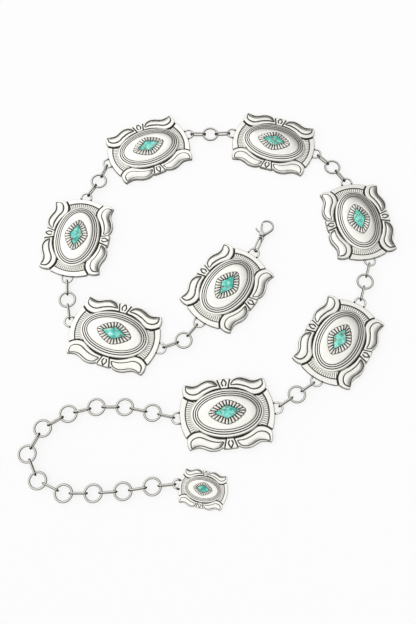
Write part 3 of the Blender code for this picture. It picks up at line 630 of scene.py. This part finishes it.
def medallion_rows():
    """The oval with its ridges, the dome and the fluted collar, as rows from the seat outwards.

    Collar: with s the share from the stone to the collar's end and t the share from a rib's middle
    to the groove beside it, the level is floor + rise (1 - fall s)
    sqrt(1 - (t/(width + widening s))^2) sqrt(1 - ((s - s0)/(s1 - s0))^2) past s0, and the floor
    past s1. Both come nearer the stone with t^2, which rounds the rib's end. Dome, with q the share
    from the collar to its edge and c its curve:
    level = edge + height (sqrt(1 - c q^2) - sqrt(1 - c))/(1 - sqrt(1 - c)).
    Ridges: a slope with a rounded crown (1 - |2u - 1|^power)^0.5 on each, where u is the share from
    one groove to the next.
    """
    column = np.arange(COLUMNS)
    from_rib = np.abs((column / FLUTE_COLUMNS) % 1.0 * 2 - 1)[None, :]
    s = np.linspace(0, 1, COLLAR_ROWS)[:, None]
    rib = np.sqrt(np.clip(1 - (from_rib / (RIB_WIDTH + RIB_WIDENING * s)) ** 2, 0, 1))
    turn = RIB_TURN - RIB_TURN_SOONER * from_rib**2
    stop = RIB_STOP - RIB_STOP_SOONER * from_rib**2
    end = np.sqrt(1 - np.clip((s - turn) / (stop - turn), 0, 1) ** 2)
    collar_z = COLLAR_FLOOR + COLLAR_RISE * (1 - RIB_FALL * s) * rib * end
    fade = 1 - COLLAR_FADE * smooth(s, stop, COLLAR_FADE_END)
    collar_recess = np.clip(FLUTE_STAIN - RIB_CLEAN * rib * end, 0, 1) * fade
    collar_s = s[:, 0]

    q = np.linspace(0, 1, DOME_ROWS + 1)[1:]
    foot = np.sqrt(1 - DOME_CURVE)
    curve = (np.sqrt(1 - DOME_CURVE * q**2) - foot) / (1 - foot)
    dome_z = DOME_EDGE_LEVEL + (DOME_LEVEL - DOME_EDGE_LEVEL) * curve
    dome_z[-1] = OVAL_INNER_LEVEL
    dome_recess = lined(q - 1, *DOME_EDGE_STAIN) + lined(q, *COLLAR_EDGE_STAIN)

    grooves = np.array(OVAL_GROOVES)
    across = np.linspace(0, 1, RIDGE_ROWS + 1)[1:]
    ridge_a = np.concatenate([between(*pair, across) for pair in zip(grooves, grooves[1:])])
    outward = (ridge_a - grooves[0]) / (grooves[-1] - grooves[0])
    slope = between(OVAL_INNER_LEVEL, OVAL_EDGE_LEVEL, outward)
    ridges = len(grooves) - 1
    crown = np.tile(np.sqrt(1 - np.abs(2 * across - 1) ** RIDGE_POWER), ridges)
    ridge_z = slope + RIDGE_RISE * crown
    from_groove = np.tile(np.minimum(across, 1 - across), ridges)
    from_groove = from_groove * np.repeat(np.diff(grooves), RIDGE_ROWS)
    ridge_recess = lined(from_groove, *RIDGE_STAIN) * (1 - smooth(ridge_a, *LAST_RIDGE))

    halves = []
    for axis, shorter in ((0, 0.0), (1, OVAL_SHORTER)):
        seat = (SEAT_MIDDLE[axis], SEAT[axis], SEAT[axis])
        collar = between(SEAT[axis] + SEAT_LIP, COLLAR[axis], collar_s)
        dome = between(COLLAR[axis], grooves[0] - shorter, q)
        wall = (OVAL_WALL[axis], OVAL_FOOT[axis])
        halves.append(np.concatenate((seat, collar, dome, ridge_a - shorter, wall)))
    power = np.concatenate((
        np.full(3, STONE_POWER), between(STONE_POWER, COLLAR_POWER, collar_s),
        between(COLLAR_POWER, ELLIPSE, q), np.full(len(ridge_a) + 2, ELLIPSE),
    ))
    x, y = oval_rows(*halves, power, COLUMNS)

    wide = np.ones((1, COLUMNS))
    seat_z = np.array([[SEAT_FLOOR], [SEAT_FLOOR], [SEAT_EDGE_LEVEL]])
    wall_z = np.array([[OVAL_WALL_LEVEL], [MOAT_LEVEL]])
    levels = (
        seat_z * wide, collar_z, dome_z[:, None] * wide,
        ridge_z[:, None] * wide, wall_z * wide,
    )
    by_wing = 0.3 + 0.7 * smooth(np.abs(y[-2:]), *WALL_BY_WING)
    oxide_and_painted_shade = (
        np.ones((3, COLUMNS)), collar_recess, dome_recess[:, None] * wide,
        ridge_recess[:, None] * wide, np.array(WALL_STAIN)[:, None] * by_wing,
    )
    return x, y, np.vstack(levels), np.vstack(oxide_and_painted_shade)


def concho_skin():
    """The whole casting in one skin: the rows of the oval, then rows along straight rays from the
    oval's foot to the outline, down the side, across the back and into the dish behind."""
    x, y, z, oxide_and_painted_shade = medallion_rows()
    top_rows = len(x)
    wide = 2 * COLUMNS
    foot_x, foot_y = even_oval(*OVAL_FOOT, ELLIPSE, wide)
    quarter = quarter_outline()
    angles = np.arctan2(quarter[:, 1], quarter[:, 0])
    reaches = np.hypot(quarter[:, 0], quarter[:, 1])
    foot_angle = np.arctan2(np.abs(foot_y), np.abs(foot_x))
    reach = np.interp(foot_angle, angles, reaches)
    edge_x = reach * np.cos(foot_angle) * np.sign(np.round(foot_x, 6))
    edge_y = reach * np.sin(foot_angle) * np.sign(np.round(foot_y, 6))

    share = np.linspace(0, 1, FRAME_ROWS + 1)[1:]
    share = (0.25 * share + 0.75 * np.sin(share * pi / 2))[:, None]
    frame_x, frame_y = between(foot_x, edge_x, share), between(foot_y, edge_y, share)
    frame_z, frame_recess = frame_relief(frame_x, frame_y, np.arange(wide)[None, :] + 0 * share)

    inward = np.array(SIDE_REACH)[:, None]
    side_x, side_y = edge_x * inward, edge_y * inward
    side_z = np.array(SIDE_LEVELS)[:, None] + 0 * side_x

    t = np.linspace(0, 1, DISH_ROWS + 1)[1:]
    dish_a, dish_b = (
        np.concatenate(([outside, edge], between(edge, floor, t), [inner, middle]))
        for outside, edge, floor, inner, middle
        in zip(DISH_OUTSIDE, DISH_EDGE, DISH_FLOOR, DISH_INSIDE, DISH_MIDDLE)
    )
    lip, sunk = [BACK_LEVEL, BACK_LEVEL + DISH_LIP], DISH_DEPTH * smooth(t, 0, 1)
    dish_z = np.concatenate((lip, sunk, [DISH_DEPTH] * 2))
    dish_x, dish_y = oval_rows(dish_a, dish_b, np.full(len(dish_a), ELLIPSE), COLUMNS)

    parts = [
        np.stack(rows, -1).reshape(-1, 3) for rows in (
            (x, y, z), (frame_x, frame_y, frame_z), (side_x, side_y, side_z),
            (dish_x, dish_y, dish_z[:, None] + 0 * dish_x),
        )
    ]
    points = np.vstack((*parts, [[0, 0, SEAT_FLOOR], [0, 0, DISH_DEPTH]]))
    frame_start = top_rows * COLUMNS
    frame_rows = FRAME_ROWS + len(SIDE_REACH)
    dish_start = frame_start + frame_rows * wide
    pole = len(points) - 2
    faces = [
        woven(top_rows, COLUMNS, 0),
        widened((top_rows - 1) * COLUMNS, frame_start, COLUMNS),
        woven(frame_rows, wide, frame_start),
        widened(dish_start, dish_start - wide, COLUMNS)[:, ::-1],
        woven(len(dish_a), COLUMNS, dish_start),
        capped(pole, 0, COLUMNS),
        capped(pole + 1, pole - COLUMNS, COLUMNS)[:, ::-1],
    ]
    # Oxide on the top, painted shade down the sides, and a slightly darker back and dish
    oxide_and_side_shade = np.concatenate((
        oxide_and_painted_shade.reshape(-1), frame_recess.reshape(-1), np.repeat(SIDE_PAINTED_SHADE, wide),
        np.full(dish_x.size, BACK_DARKENING), [1.0, BACK_DARKENING],
    ))
    return skin(points, faces, oxide_and_side_shade)


def loop_skin(end, radius, straight, rim, root_level):
    """A wire in the shape of a D: legs from inside the casting's rim, rising by the share
    3t^2 - 2t^3 to the level of the wires, then half a circle. A painted shadow darkens it where the
    legs leave the rim."""
    t = np.linspace(-pi / 2, pi / 2, BOW_POINTS)
    bow = np.stack((rim + straight + radius * np.cos(t), radius * np.sin(t)), -1)
    leg = np.linspace(rim - LOOP_ROOT, rim + straight, LEG_POINTS + 1)[:-1]
    first = np.stack((leg, np.full(LEG_POINTS, -radius)), -1)
    last = np.stack((leg[::-1], np.full(LEG_POINTS, radius)), -1)
    flat = np.vstack((first, bow, last))
    rising = smooth(flat[:, 0], rim + LOOP_RISING[0], rim + straight + LOOP_RISING[1])
    level = between(root_level, WIRE_LEVEL, rising)
    path = np.stack((end * flat[:, 0], flat[:, 1], level), -1)
    points, faces, oxide_and_painted_shade = tube(path, LOOP_WIRE, LOOP_WIRE, LOOP_SIDES, closed=False)
    # Painted shadow where the legs leave the rim
    out = smooth(end * points[:, 0], rim + ROOT_FADE[0], rim + ROOT_FADE[1])
    return points, faces, np.maximum(oxide_and_painted_shade, ROOT_PAINTED_SHADOW * (1 - out))


def concho_mesh(share, ends):
    """A casting at a share of full size with its wire loops."""
    points, faces, oxide_and_painted_shade = concho_skin()
    small = share < 1
    radius = SMALL_LOOP_RADIUS if small else LOOP_RADIUS
    straight = SMALL_LOOP_STRAIGHT if small else LOOP_STRAIGHT
    rim, root_level = share * HALF_LENGTH, share * ROOT_LEVEL
    loops = [loop_skin(end, radius, straight, rim, root_level) for end in ends]
    name = "small_casting" if small else "casting"
    return mesh_from(name, [(points * share, faces, oxide_and_painted_shade), *loops])


def stone_mesh(share):
    """A lozenge cabochon. At the share q from its middle to its edge the level over the girdle is
    crown (1 - q^1.2), with the very top rounded, over a straight girdle and a flat underside."""
    q = np.array(STONE_SHARES)
    under = np.array(STONE_UNDER)
    level = GIRDLE_LEVEL + CROWN_HEIGHT * (1 - np.hypot(q, STONE_TIP) ** STONE_FALL)
    shares = np.concatenate((q, under[:, 0]))
    z = np.concatenate((level, under[:, 1]))
    power = between(STONE_TOP_POWER, STONE_POWER, q)
    power = np.concatenate((power, np.full(len(under), STONE_POWER)))
    x, y = oval_rows(STONE[0] * shares, STONE[1] * shares, power, STONE_COLUMNS)
    # Painted shade round the girdle and under the stone, where it sits in the collar
    edge_shade = np.concatenate((smooth(q, *STONE_EDGE_SHADE), np.ones(len(under))))[:, None] + 0 * x
    points, faces, oxide_and_painted_shade = grid_skin(x, y, z[:, None] + 0 * x, edge_shade)
    return mesh_from("stone", [(points * share, faces, oxide_and_painted_shade)])


# Wires

def ring_skin():
    """A round ring lying flat, with painted shade along its sides and on its inner side."""
    path = circle(RING_CURVE, 0.0, RING_POINTS)
    return tube(path, RING_WIRE, RING_WIRE, RING_SIDES, inner=RING_INNER)


def link_skin(strand=LINK_STRAND, roll=90.0):
    """An oval link in its own plane, to be stood up by the roll: two half circles, a reach apart,
    joined by straight strands, with painted shade along its sides and inside its ends, where it
    holds what it hangs on."""
    half = LINK_REACH / 2
    t = np.linspace(-pi / 2, pi / 2, LINK_BOW_POINTS)
    straight = np.linspace(-half, half, STRAND_POINTS + 2)[1:-1]
    right = np.stack((half + strand * np.cos(t), strand * np.sin(t)), -1)
    over = np.stack((straight[::-1], np.full(STRAND_POINTS, strand)), -1)
    path = at_level(np.vstack((right, over, -right, -over)), 0.0)
    ends = smooth(np.abs(path[:, 0]), half - 1, half + 1)
    up = (0.0, sin(radians(roll)), cos(radians(roll)))
    return tube(path, LINK_WIRE, LINK_WIRE, LINK_SIDES, up=up, inner=LINK_INNER * ends)


def laid(part, heading, x, y, z, roll=0.0):
    """A skin stood up by the roll about its own X, turned to a heading and moved to its place."""
    points, faces, oxide_and_painted_shade = part
    turn = Matrix.Rotation(radians(heading), 3, "Z") @ Matrix.Rotation(radians(roll), 3, "X")
    return points @ np.array(turn).T + (x, y, z), faces, oxide_and_painted_shade


# Clasp

def tapered(share, start, end, least):
    """Share of full thickness along a wire: a quarter circle at each end, down to the least."""
    return np.minimum(rounded(share, start), rounded(1 - share, end)).clip(least)


def clasp_hook_line():
    """Line of the hook: from the shoulder up the neck, then round the bow."""
    t = np.radians(np.linspace(HOOK_START, HOOK_END, HOOK_POINTS))
    bow = np.stack((HOOK_RADIUS * np.cos(t), HOOK_CENTRE + HOOK_RADIUS * np.sin(t)), -1)
    neck = curved((*NECK, tuple(bow[0])), 5)
    return np.vstack((neck[:-1], bow))


def clasp_body_mesh():
    """Eye, two cheeks with the pin and a wall between them, and a hook that swells at the shoulder
    and thins towards its tip, all with painted shade on their sides, undersides and inner bends. A
    slot along the neck is drawn as a fully dark wire, which is painted shade."""
    line = clasp_hook_line()
    share = np.linspace(0, 1, len(line))
    width = HOOK_WIDTH - HOOK_NARROWER * smooth(share, 0.1, 0.6)
    width = width - TIP_NARROWER * smooth(share, 0.85, 1.0)
    depth = HOOK_DEPTH - HOOK_FLATTER * smooth(share, 0.2, 0.9)
    tips = tapered(share, 0.05, 0.04, 0.4)
    path = at_level(line, CLASP_THICKNESS / 2)
    hook = tube(path, width * tips, depth * tips, 20, closed=False, inner=HOOK_INNER)
    path = circle(EYE_RADIUS, WIRE_LEVEL, EYE_POINTS)
    eye = tube(path, EYE_WIRE, EYE_WIRE, 14, inner=EYE_INNER)
    x, y = PIVOT
    top = CLASP_THICKNESS
    wall_x, wall_y = x + WALL_OFFSET[0], y - WALL_OFFSET[1]
    cheeks = [
        button(x, y, SHOULDER_RADIUS, CLASP_FOOT, CHEEK, 0.3),
        button(x, y, SHOULDER_RADIUS, top - CHEEK, top - CLASP_FOOT, 0.45),
        button(x, y, PIN_RADIUS, PIN_LOW, PIN_HIGH, 0.1),
        button(wall_x, wall_y, WALL_RADIUS, WALL_GAP, top - WALL_GAP, 0.4),
    ]
    # The slot is a fully dark wire: painted shade, not a cut
    slot = at_level(curved(SLOT, 4), SLOT_LEVEL)
    points, faces, _ = tube(slot, SLOT_WIDTH, SLOT_WIDTH, closed=False)
    slot = points, faces, np.ones(len(points))
    metal = [(*part, CLASP_PAINTED_SHADE * oxide_and_painted_shade) for *part, oxide_and_painted_shade in (hook, eye, *cheeks)]
    return mesh_from("clasp_casting", [*metal, slot])


def clasp_lever_mesh():
    """Hub, arm to the hook's tip and a curved thumb tab, all in the lever's own frame about its
    pin."""
    end = radians(HOOK_END)
    tip_x = HOOK_RADIUS * cos(end) - PIVOT[0]
    tip_y = HOOK_CENTRE + HOOK_RADIUS * sin(end) - PIVOT[1]
    arm = (ARM_FOOT, (tip_x / 2 - ARM_BEND, tip_y / 2), (tip_x * ARM_SHARE, tip_y * ARM_SHARE))
    bends = [(along * TAB_END[0], aside * TAB_END[1]) for along, aside in TAB_SHARES]
    tab = (TAB_FOOT, *bends, TAB_END)
    # Hub, arm and tab carry painted shade on their sides and undersides
    skins = [button(0, 0, HUB_RADIUS, LEVER_LOW, LEVER_HIGH, 0.25)]
    for line, width in ((curved(arm), ARM_WIDTH), (curved(tab, 5), TAB_WIDTH)):
        tips = tapered(np.linspace(0, 1, len(line)), 0.06, 0.06, 0.25)
        path = at_level(line, (LEVER_LOW + LEVER_HIGH) / 2)
        skins.append(tube(path, width * tips, LEVER_DEPTH * tips, 16, closed=False))
    return mesh_from("clasp_lever", skins)


# Materials. The owner of a node is a material or the world.

def node_of(owner, kind, **values):
    """A shader node with its properties and input values set."""
    node = owner.node_tree.nodes.new(kind)
    for name, value in values.items():
        if name in node.inputs:
            node.inputs[name].default_value = value
        else:
            setattr(node, name, value)
    return node


def tie(owner, source, target):
    """A link from one socket to another."""
    owner.node_tree.links.new(source, target)


def new_material(name):
    """A new material and its surface shader."""
    material = bpy.data.materials.new(name)
    material.use_nodes = True
    return material, material.node_tree.nodes["Principled BSDF"]


def noise(owner, where, scale, detail, rough=0.5, distortion=0.0):
    """Noise in the object's own coordinates."""
    node = node_of(owner, "ShaderNodeTexNoise", Scale=scale, Detail=detail, Roughness=rough,
                   Distortion=distortion)
    tie(owner, where.outputs["Object"], node.inputs["Vector"])
    return node


def ramp(owner, source, stops):
    """A colour ramp with stops of position and colour."""
    node = node_of(owner, "ShaderNodeValToRGB")
    band = node.color_ramp
    while len(band.elements) < len(stops):
        band.elements.new(0.5)
    for element, (position, colour) in zip(band.elements, stops):
        element.position = position
        element.color = (*colour, 1.0)
    tie(owner, source, node.inputs["Fac"])
    return node.outputs["Color"]


def mixed(owner, factor, first, second):
    """The first colour's socket mixed by the factor with the second, a socket or a plain colour."""
    node = node_of(owner, "ShaderNodeMix", data_type="RGBA")
    tie(owner, factor, node.inputs["Factor"])
    tie(owner, first, node.inputs["A"])
    if isinstance(second, tuple):
        node.inputs["B"].default_value = (*second, 1.0)
    else:
        tie(owner, second, node.inputs["B"])
    return node.outputs["Result"]


def bumped(owner, shader, height, strength):
    """Fine bump on a shader, from the height of a noise."""
    node = node_of(owner, "ShaderNodeBump", Strength=strength, Distance=0.0002)
    tie(owner, height.outputs["Fac"], node.inputs["Height"])
    tie(owner, node.outputs["Normal"], shader.inputs["Normal"])


def grey(value):
    """A colour without hue."""
    return (value, value, value)


def silver(name, colour, polish, worn):
    """Silver with a soft, uneven polish and faint casting marks, black-brown in its recesses and
    where shade is painted on it.
    """
    material, shader = new_material(name)
    where = node_of(material, "ShaderNodeTexCoord")
    oxide_and_painted_shade = node_of(material, "ShaderNodeAttribute", attribute_name="oxide_and_painted_shade")
    patch = noise(material, where, scale=260.0, detail=5.0, rough=0.6)
    # Oxide in hollows and painted shade on sides, edges and roots, with some noise, darken the
    # metal.
    shade_and_oxide_amount = node_of(material, "ShaderNodeMath", operation="MULTIPLY_ADD")
    tie(material, patch.outputs["Fac"], shade_and_oxide_amount.inputs[0])
    shade_and_oxide_amount.inputs[1].default_value = 0.35
    tie(material, oxide_and_painted_shade.outputs["Fac"], shade_and_oxide_amount.inputs[2])
    dark_oxide_and_shade = ramp(material, shade_and_oxide_amount.outputs["Value"], ((0.41, grey(0.0)), (0.86, grey(1.0))))
    duller = [0.93 * c for c in colour]
    body = ramp(material, patch.outputs["Fac"], ((0.3, duller), (0.7, colour)))
    tie(material, mixed(material, dark_oxide_and_shade, body, OXIDE_AND_SHADE_COLOUR), shader.inputs["Base Color"])
    fine = noise(material, where, scale=1400.0, detail=3.0, rough=0.6)
    rough = ramp(material, fine.outputs["Fac"], ((0.3, grey(polish)), (0.75, grey(polish + worn))))
    tie(material, mixed(material, dark_oxide_and_shade, rough, grey(0.6)), shader.inputs["Roughness"])
    metal = ramp(material, dark_oxide_and_shade, ((0.0, grey(1.0)), (1.0, grey(0.35))))
    tie(material, metal, shader.inputs["Metallic"])
    bumped(material, shader, fine, 0.12)
    return material


def turquoise():
    """Blue-green stone in soft patches, with a brown and gold web through it, and painted shade
    round its edge and under it, where it sits in the collar."""
    material, shader = new_material("turquoise_stone")
    where = node_of(material, "ShaderNodeTexCoord")
    patch = noise(material, where, scale=230.0, detail=6.0, rough=0.6, distortion=0.4)
    stone = ramp(material, patch.outputs["Fac"], STONE_COLOURS)
    bent = noise(material, where, scale=420.0, detail=3.0)
    push = node_of(material, "ShaderNodeVectorMath", operation="MULTIPLY_ADD")
    tie(material, bent.outputs["Color"], push.inputs[0])
    push.inputs[1].default_value = grey(0.004)
    tie(material, where.outputs["Object"], push.inputs[2])
    web = node_of(material, "ShaderNodeTexVoronoi", feature="DISTANCE_TO_EDGE", Scale=210.0)
    tie(material, push.outputs["Vector"], web.inputs["Vector"])
    line = ramp(material, web.outputs["Distance"], ((0.02, grey(1.0)), (0.12, grey(0.0))))
    some = noise(material, where, scale=150.0, detail=2.0)
    share = ramp(material, some.outputs["Fac"], ((0.42, grey(0.0)), (0.56, grey(0.95))))
    amount = node_of(material, "ShaderNodeMath", operation="MULTIPLY")
    tie(material, line, amount.inputs[0])
    tie(material, share, amount.inputs[1])
    tint = ramp(material, bent.outputs["Fac"], VEIN_COLOURS)
    veined = mixed(material, amount.outputs["Value"], stone, tint)
    # Painted shade at the stone's edge, from the points' share
    edge_shade = node_of(material, "ShaderNodeAttribute", attribute_name="oxide_and_painted_shade")
    colour = mixed(material, edge_shade.outputs["Fac"], veined, STONE_SHADE_COLOUR)
    tie(material, colour, shader.inputs["Base Color"])
    rough = ramp(material, patch.outputs["Fac"], ((0.3, grey(0.18)), (0.7, grey(0.3))))
    tie(material, rough, shader.inputs["Roughness"])
    bumped(material, shader, patch, 0.15)
    return material


# Laying the pieces

def node_points(name):
    """The corners of a CAD node, each once."""
    mesh = frame["nodes"][name].data
    points = np.empty(3 * len(mesh.vertices))
    mesh.vertices.foreach_get("co", points)
    return np.unique(np.round(points.reshape(-1, 3), 6), axis=0)


def lie_of(name):
    """Middle of a node's box in millimetres, and the heading of the line along which it is
    longest."""
    points = node_points(name) / MM
    middle = (points.min(0) + points.max(0)) / 2
    flat = points[:, :2] - points[:, :2].mean(0)
    axis = np.linalg.eigh(flat.T @ flat)[1][:, -1]
    return middle, float(np.degrees(np.arctan2(axis[1], axis[0])))


def show(name, mesh, material, slot, body, *nodes):
    """A finished piece in place of its CAD nodes, riding on a body."""
    mesh.materials.clear()
    mesh.materials.append(material)
    piece = bpy.data.objects.new(name, mesh)
    bpy.context.scene.collection.objects.link(piece)
    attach(piece, body)
    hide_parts(*nodes)


def placed_copy(mesh, heading, x, y):
    """A copy of a mesh, turned to a heading and moved to its place on the table."""
    turn = Matrix.Rotation(radians(heading), 4, "Z")
    copy = mesh.copy()
    copy.transform(Matrix.Translation((x * MM, y * MM, 0.0)) @ turn)
    return copy


def ahead(heading, reach):
    """The step of a reach along a heading."""
    return reach * np.array((cos(radians(heading)), sin(radians(heading))))


def lay_conchos(cast, stone):
    """Eight large castings and the small one, each with its stone. Gives where the last large one
    lies, as its middle and heading."""
    casting, lozenge = concho_mesh(1.0, (1, -1)), stone_mesh(1.0)
    for number in range(1, 9):
        middle, heading = lie_of(f"stone_{number}")
        x, y = middle[:2]
        mesh = placed_copy(casting, heading, x, y)
        show(f"concho_{number}_silver", mesh, cast, "cast_silver", "belt", f"concho_{number}")
        mesh = placed_copy(lozenge, heading, x, y)
        show(f"stone_{number}_turquoise", mesh, stone, "turquoise", "belt", f"stone_{number}")
    last = middle[:2], heading
    middle, heading = lie_of("small_stone")
    x, y = middle[:2]
    if (node_points("small_concho")[:, :2].mean(0) / MM - (x, y)) @ ahead(heading, 1) > 0:
        heading += 180.0
    mesh = placed_copy(concho_mesh(SMALL_SHARE, (-1,)), heading, x, y)
    show("small_concho_silver", mesh, cast, "cast_silver", "belt", "small_concho")
    mesh = placed_copy(stone_mesh(SMALL_SHARE), heading, x, y)
    show("small_stone_turquoise", mesh, stone, "turquoise", "belt", "small_stone")
    return last


def lay_wires(wire, last):
    """Rings and upright links between the conchos, and the chain from the last one, ring by
    ring."""
    for number in range(1, 8):
        middle, heading = lie_of(f"ring_{number}")
        mesh = mesh_from("ring", [laid(ring_skin(), heading, *middle)])
        show(f"ring_{number}_wire", mesh, wire, "silver_wire", "belt", f"ring_{number}")
    for number in range(1, 15):
        middle, heading = lie_of(f"link_{number}")
        mesh = mesh_from("link", [laid(link_skin(), heading, *middle, roll=90.0)])
        show(f"link_{number}_wire", mesh, wire, "silver_wire", "belt", f"link_{number}")
    middle, heading = last
    if cos(radians(heading - CHAIN_ROUTE[0])) > 0:
        heading += 180.0
    spot = middle - ahead(heading, HALF_LENGTH + LOOP_STRAIGHT)
    held = LOOP_RADIUS
    skins = []
    for number, heading in enumerate(CHAIN_ROUTE):
        place = spot + ahead(heading, held + LINK_REACH / 2)
        skins.append(laid(link_skin(), heading, *place, WIRE_LEVEL, roll=90.0))
        spot = spot + ahead(heading, held + LINK_REACH)
        if number < len(CHAIN_ROUTE) - 1:
            spot = spot + ahead(heading, RING_RADIUS)
            skins.append(laid(ring_skin(), heading, *spot, WIRE_LEVEL))
            held = RING_RADIUS
    show("chain_wire", mesh_from("chain", skins), wire, "silver_wire", "belt", "chain")


def lay_clasp(wire, bright):
    """Clasp link, clasp and lever, set out from the hinge's pin along the clasp link's heading."""
    middle, heading = lie_of("clasp_link")
    heading %= 180.0
    roll = 90.0 - CLASP_LINK_ROLL
    link = link_skin(strand=CLASP_LINK_STRAND, roll=roll)
    mesh = mesh_from("clasp_link", [laid(link, heading, *middle, roll=roll)])
    show("clasp_link_wire", mesh, wire, "silver_wire", "belt", "clasp_link")
    pin = np.array(frame["record"]["behaviour"]["joints"][0]["pos_m"][:2]) / MM
    turn = radians(heading - 90.0)
    right, up = np.array((cos(turn), sin(turn))), np.array((-sin(turn), cos(turn)))
    eye = pin - PIVOT[0] * right - PIVOT[1] * up
    mesh = placed_copy(clasp_body_mesh(), heading - 90.0, *eye)
    show("clasp_body_silver", mesh, bright, "clasp_silver", "belt", "clasp_body")
    mesh = placed_copy(clasp_lever_mesh(), heading - 90.0, *pin)
    show("clasp_lever_silver", mesh, bright, "clasp_silver", "lever", "clasp_lever")


# Studio

def lay_floor():
    """A wide white floor that glows softly, so that it stays pale and its shadows faint."""
    bpy.ops.mesh.primitive_plane_add(size=FLOOR_SIZE, location=(0, 0, FLOOR_LEVEL))
    floor = bpy.context.object
    floor.name = "floor"
    white, shader = new_material("white_floor")
    shader.inputs["Base Color"].default_value = (*grey(FLOOR_GREY), 1.0)
    shader.inputs["Emission Color"].default_value = (1.0, 1.0, 1.0, 1.0)
    shader.inputs["Emission Strength"].default_value = FLOOR_GLOW
    shader.inputs["Roughness"].default_value = 0.9
    shader.inputs["Specular IOR Level"].default_value = 0.1
    floor.data.materials.append(white)


def light_studio():
    """A bright sky that greys low down, most at the back right, and soft lights behind and
    beside."""
    world = bpy.data.worlds.new("studio")
    bpy.context.scene.world = world
    world.use_nodes = True
    where = node_of(world, "ShaderNodeTexCoord")
    split = node_of(world, "ShaderNodeSeparateXYZ")
    tie(world, where.outputs["Generated"], split.inputs["Vector"])
    place = None
    for axis, share in SKY_SHARES:
        node = node_of(world, "ShaderNodeMath", operation="MULTIPLY_ADD")
        tie(world, split.outputs[axis], node.inputs[0])
        node.inputs[1].default_value = share
        if place is None:
            node.inputs[2].default_value = SKY_LIFT
        else:
            tie(world, place, node.inputs[2])
        place = node.outputs["Value"]
    sky = ramp(world, place, [(position, grey(value)) for position, value in SKY_STOPS])
    back = world.node_tree.nodes["Background"]
    tie(world, sky, back.inputs["Color"])
    back.inputs["Strength"].default_value = 1.0

    for name, spot, size, power in LIGHTS:
        data = bpy.data.lights.new(name, "AREA")
        data.size = size
        data.energy = power
        light = bpy.data.objects.new(name, data)
        light.location = spot
        light.rotation_euler = (-Vector(spot)).to_track_quat("-Z", "Y").to_euler()
        bpy.context.scene.collection.objects.link(light)


def set_camera():
    """The camera at the photograph's place and angle."""
    data = bpy.data.cameras.new("camera")
    data.sensor_width = SENSOR_WIDTH
    data.lens = SENSOR_WIDTH * FOCAL_PIXELS / PHOTO_HEIGHT
    camera = bpy.data.objects.new("camera", data)
    eye, target = Vector(CAMERA_PLACE), Vector(CAMERA_TARGET)
    camera.location = eye
    roll = Matrix.Rotation(radians(CAMERA_ROLL), 4, "Z")
    aim = (target - eye).to_track_quat("-Z", "Y").to_matrix().to_4x4()
    camera.rotation_euler = (aim @ roll).to_euler()
    bpy.context.scene.collection.objects.link(camera)
    bpy.context.scene.camera = camera
    bpy.context.scene.view_settings.view_transform = "Standard"
    bpy.context.scene.view_settings.look = "None"
    bpy.context.scene.view_settings.exposure = 0.0


cast_silver = silver("antiqued_silver", CAST_COLOUR, polish=0.2, worn=0.1)
wire_silver = silver("wire_silver", WIRE_COLOUR, polish=0.2, worn=0.1)
clasp_silver = silver("clasp_polish", CLASP_COLOUR, polish=0.2, worn=0.08)
last_concho = lay_conchos(cast_silver, turquoise())
lay_wires(wire_silver, last_concho)
lay_clasp(wire_silver, clasp_silver)
lay_floor()
light_studio()
set_camera()
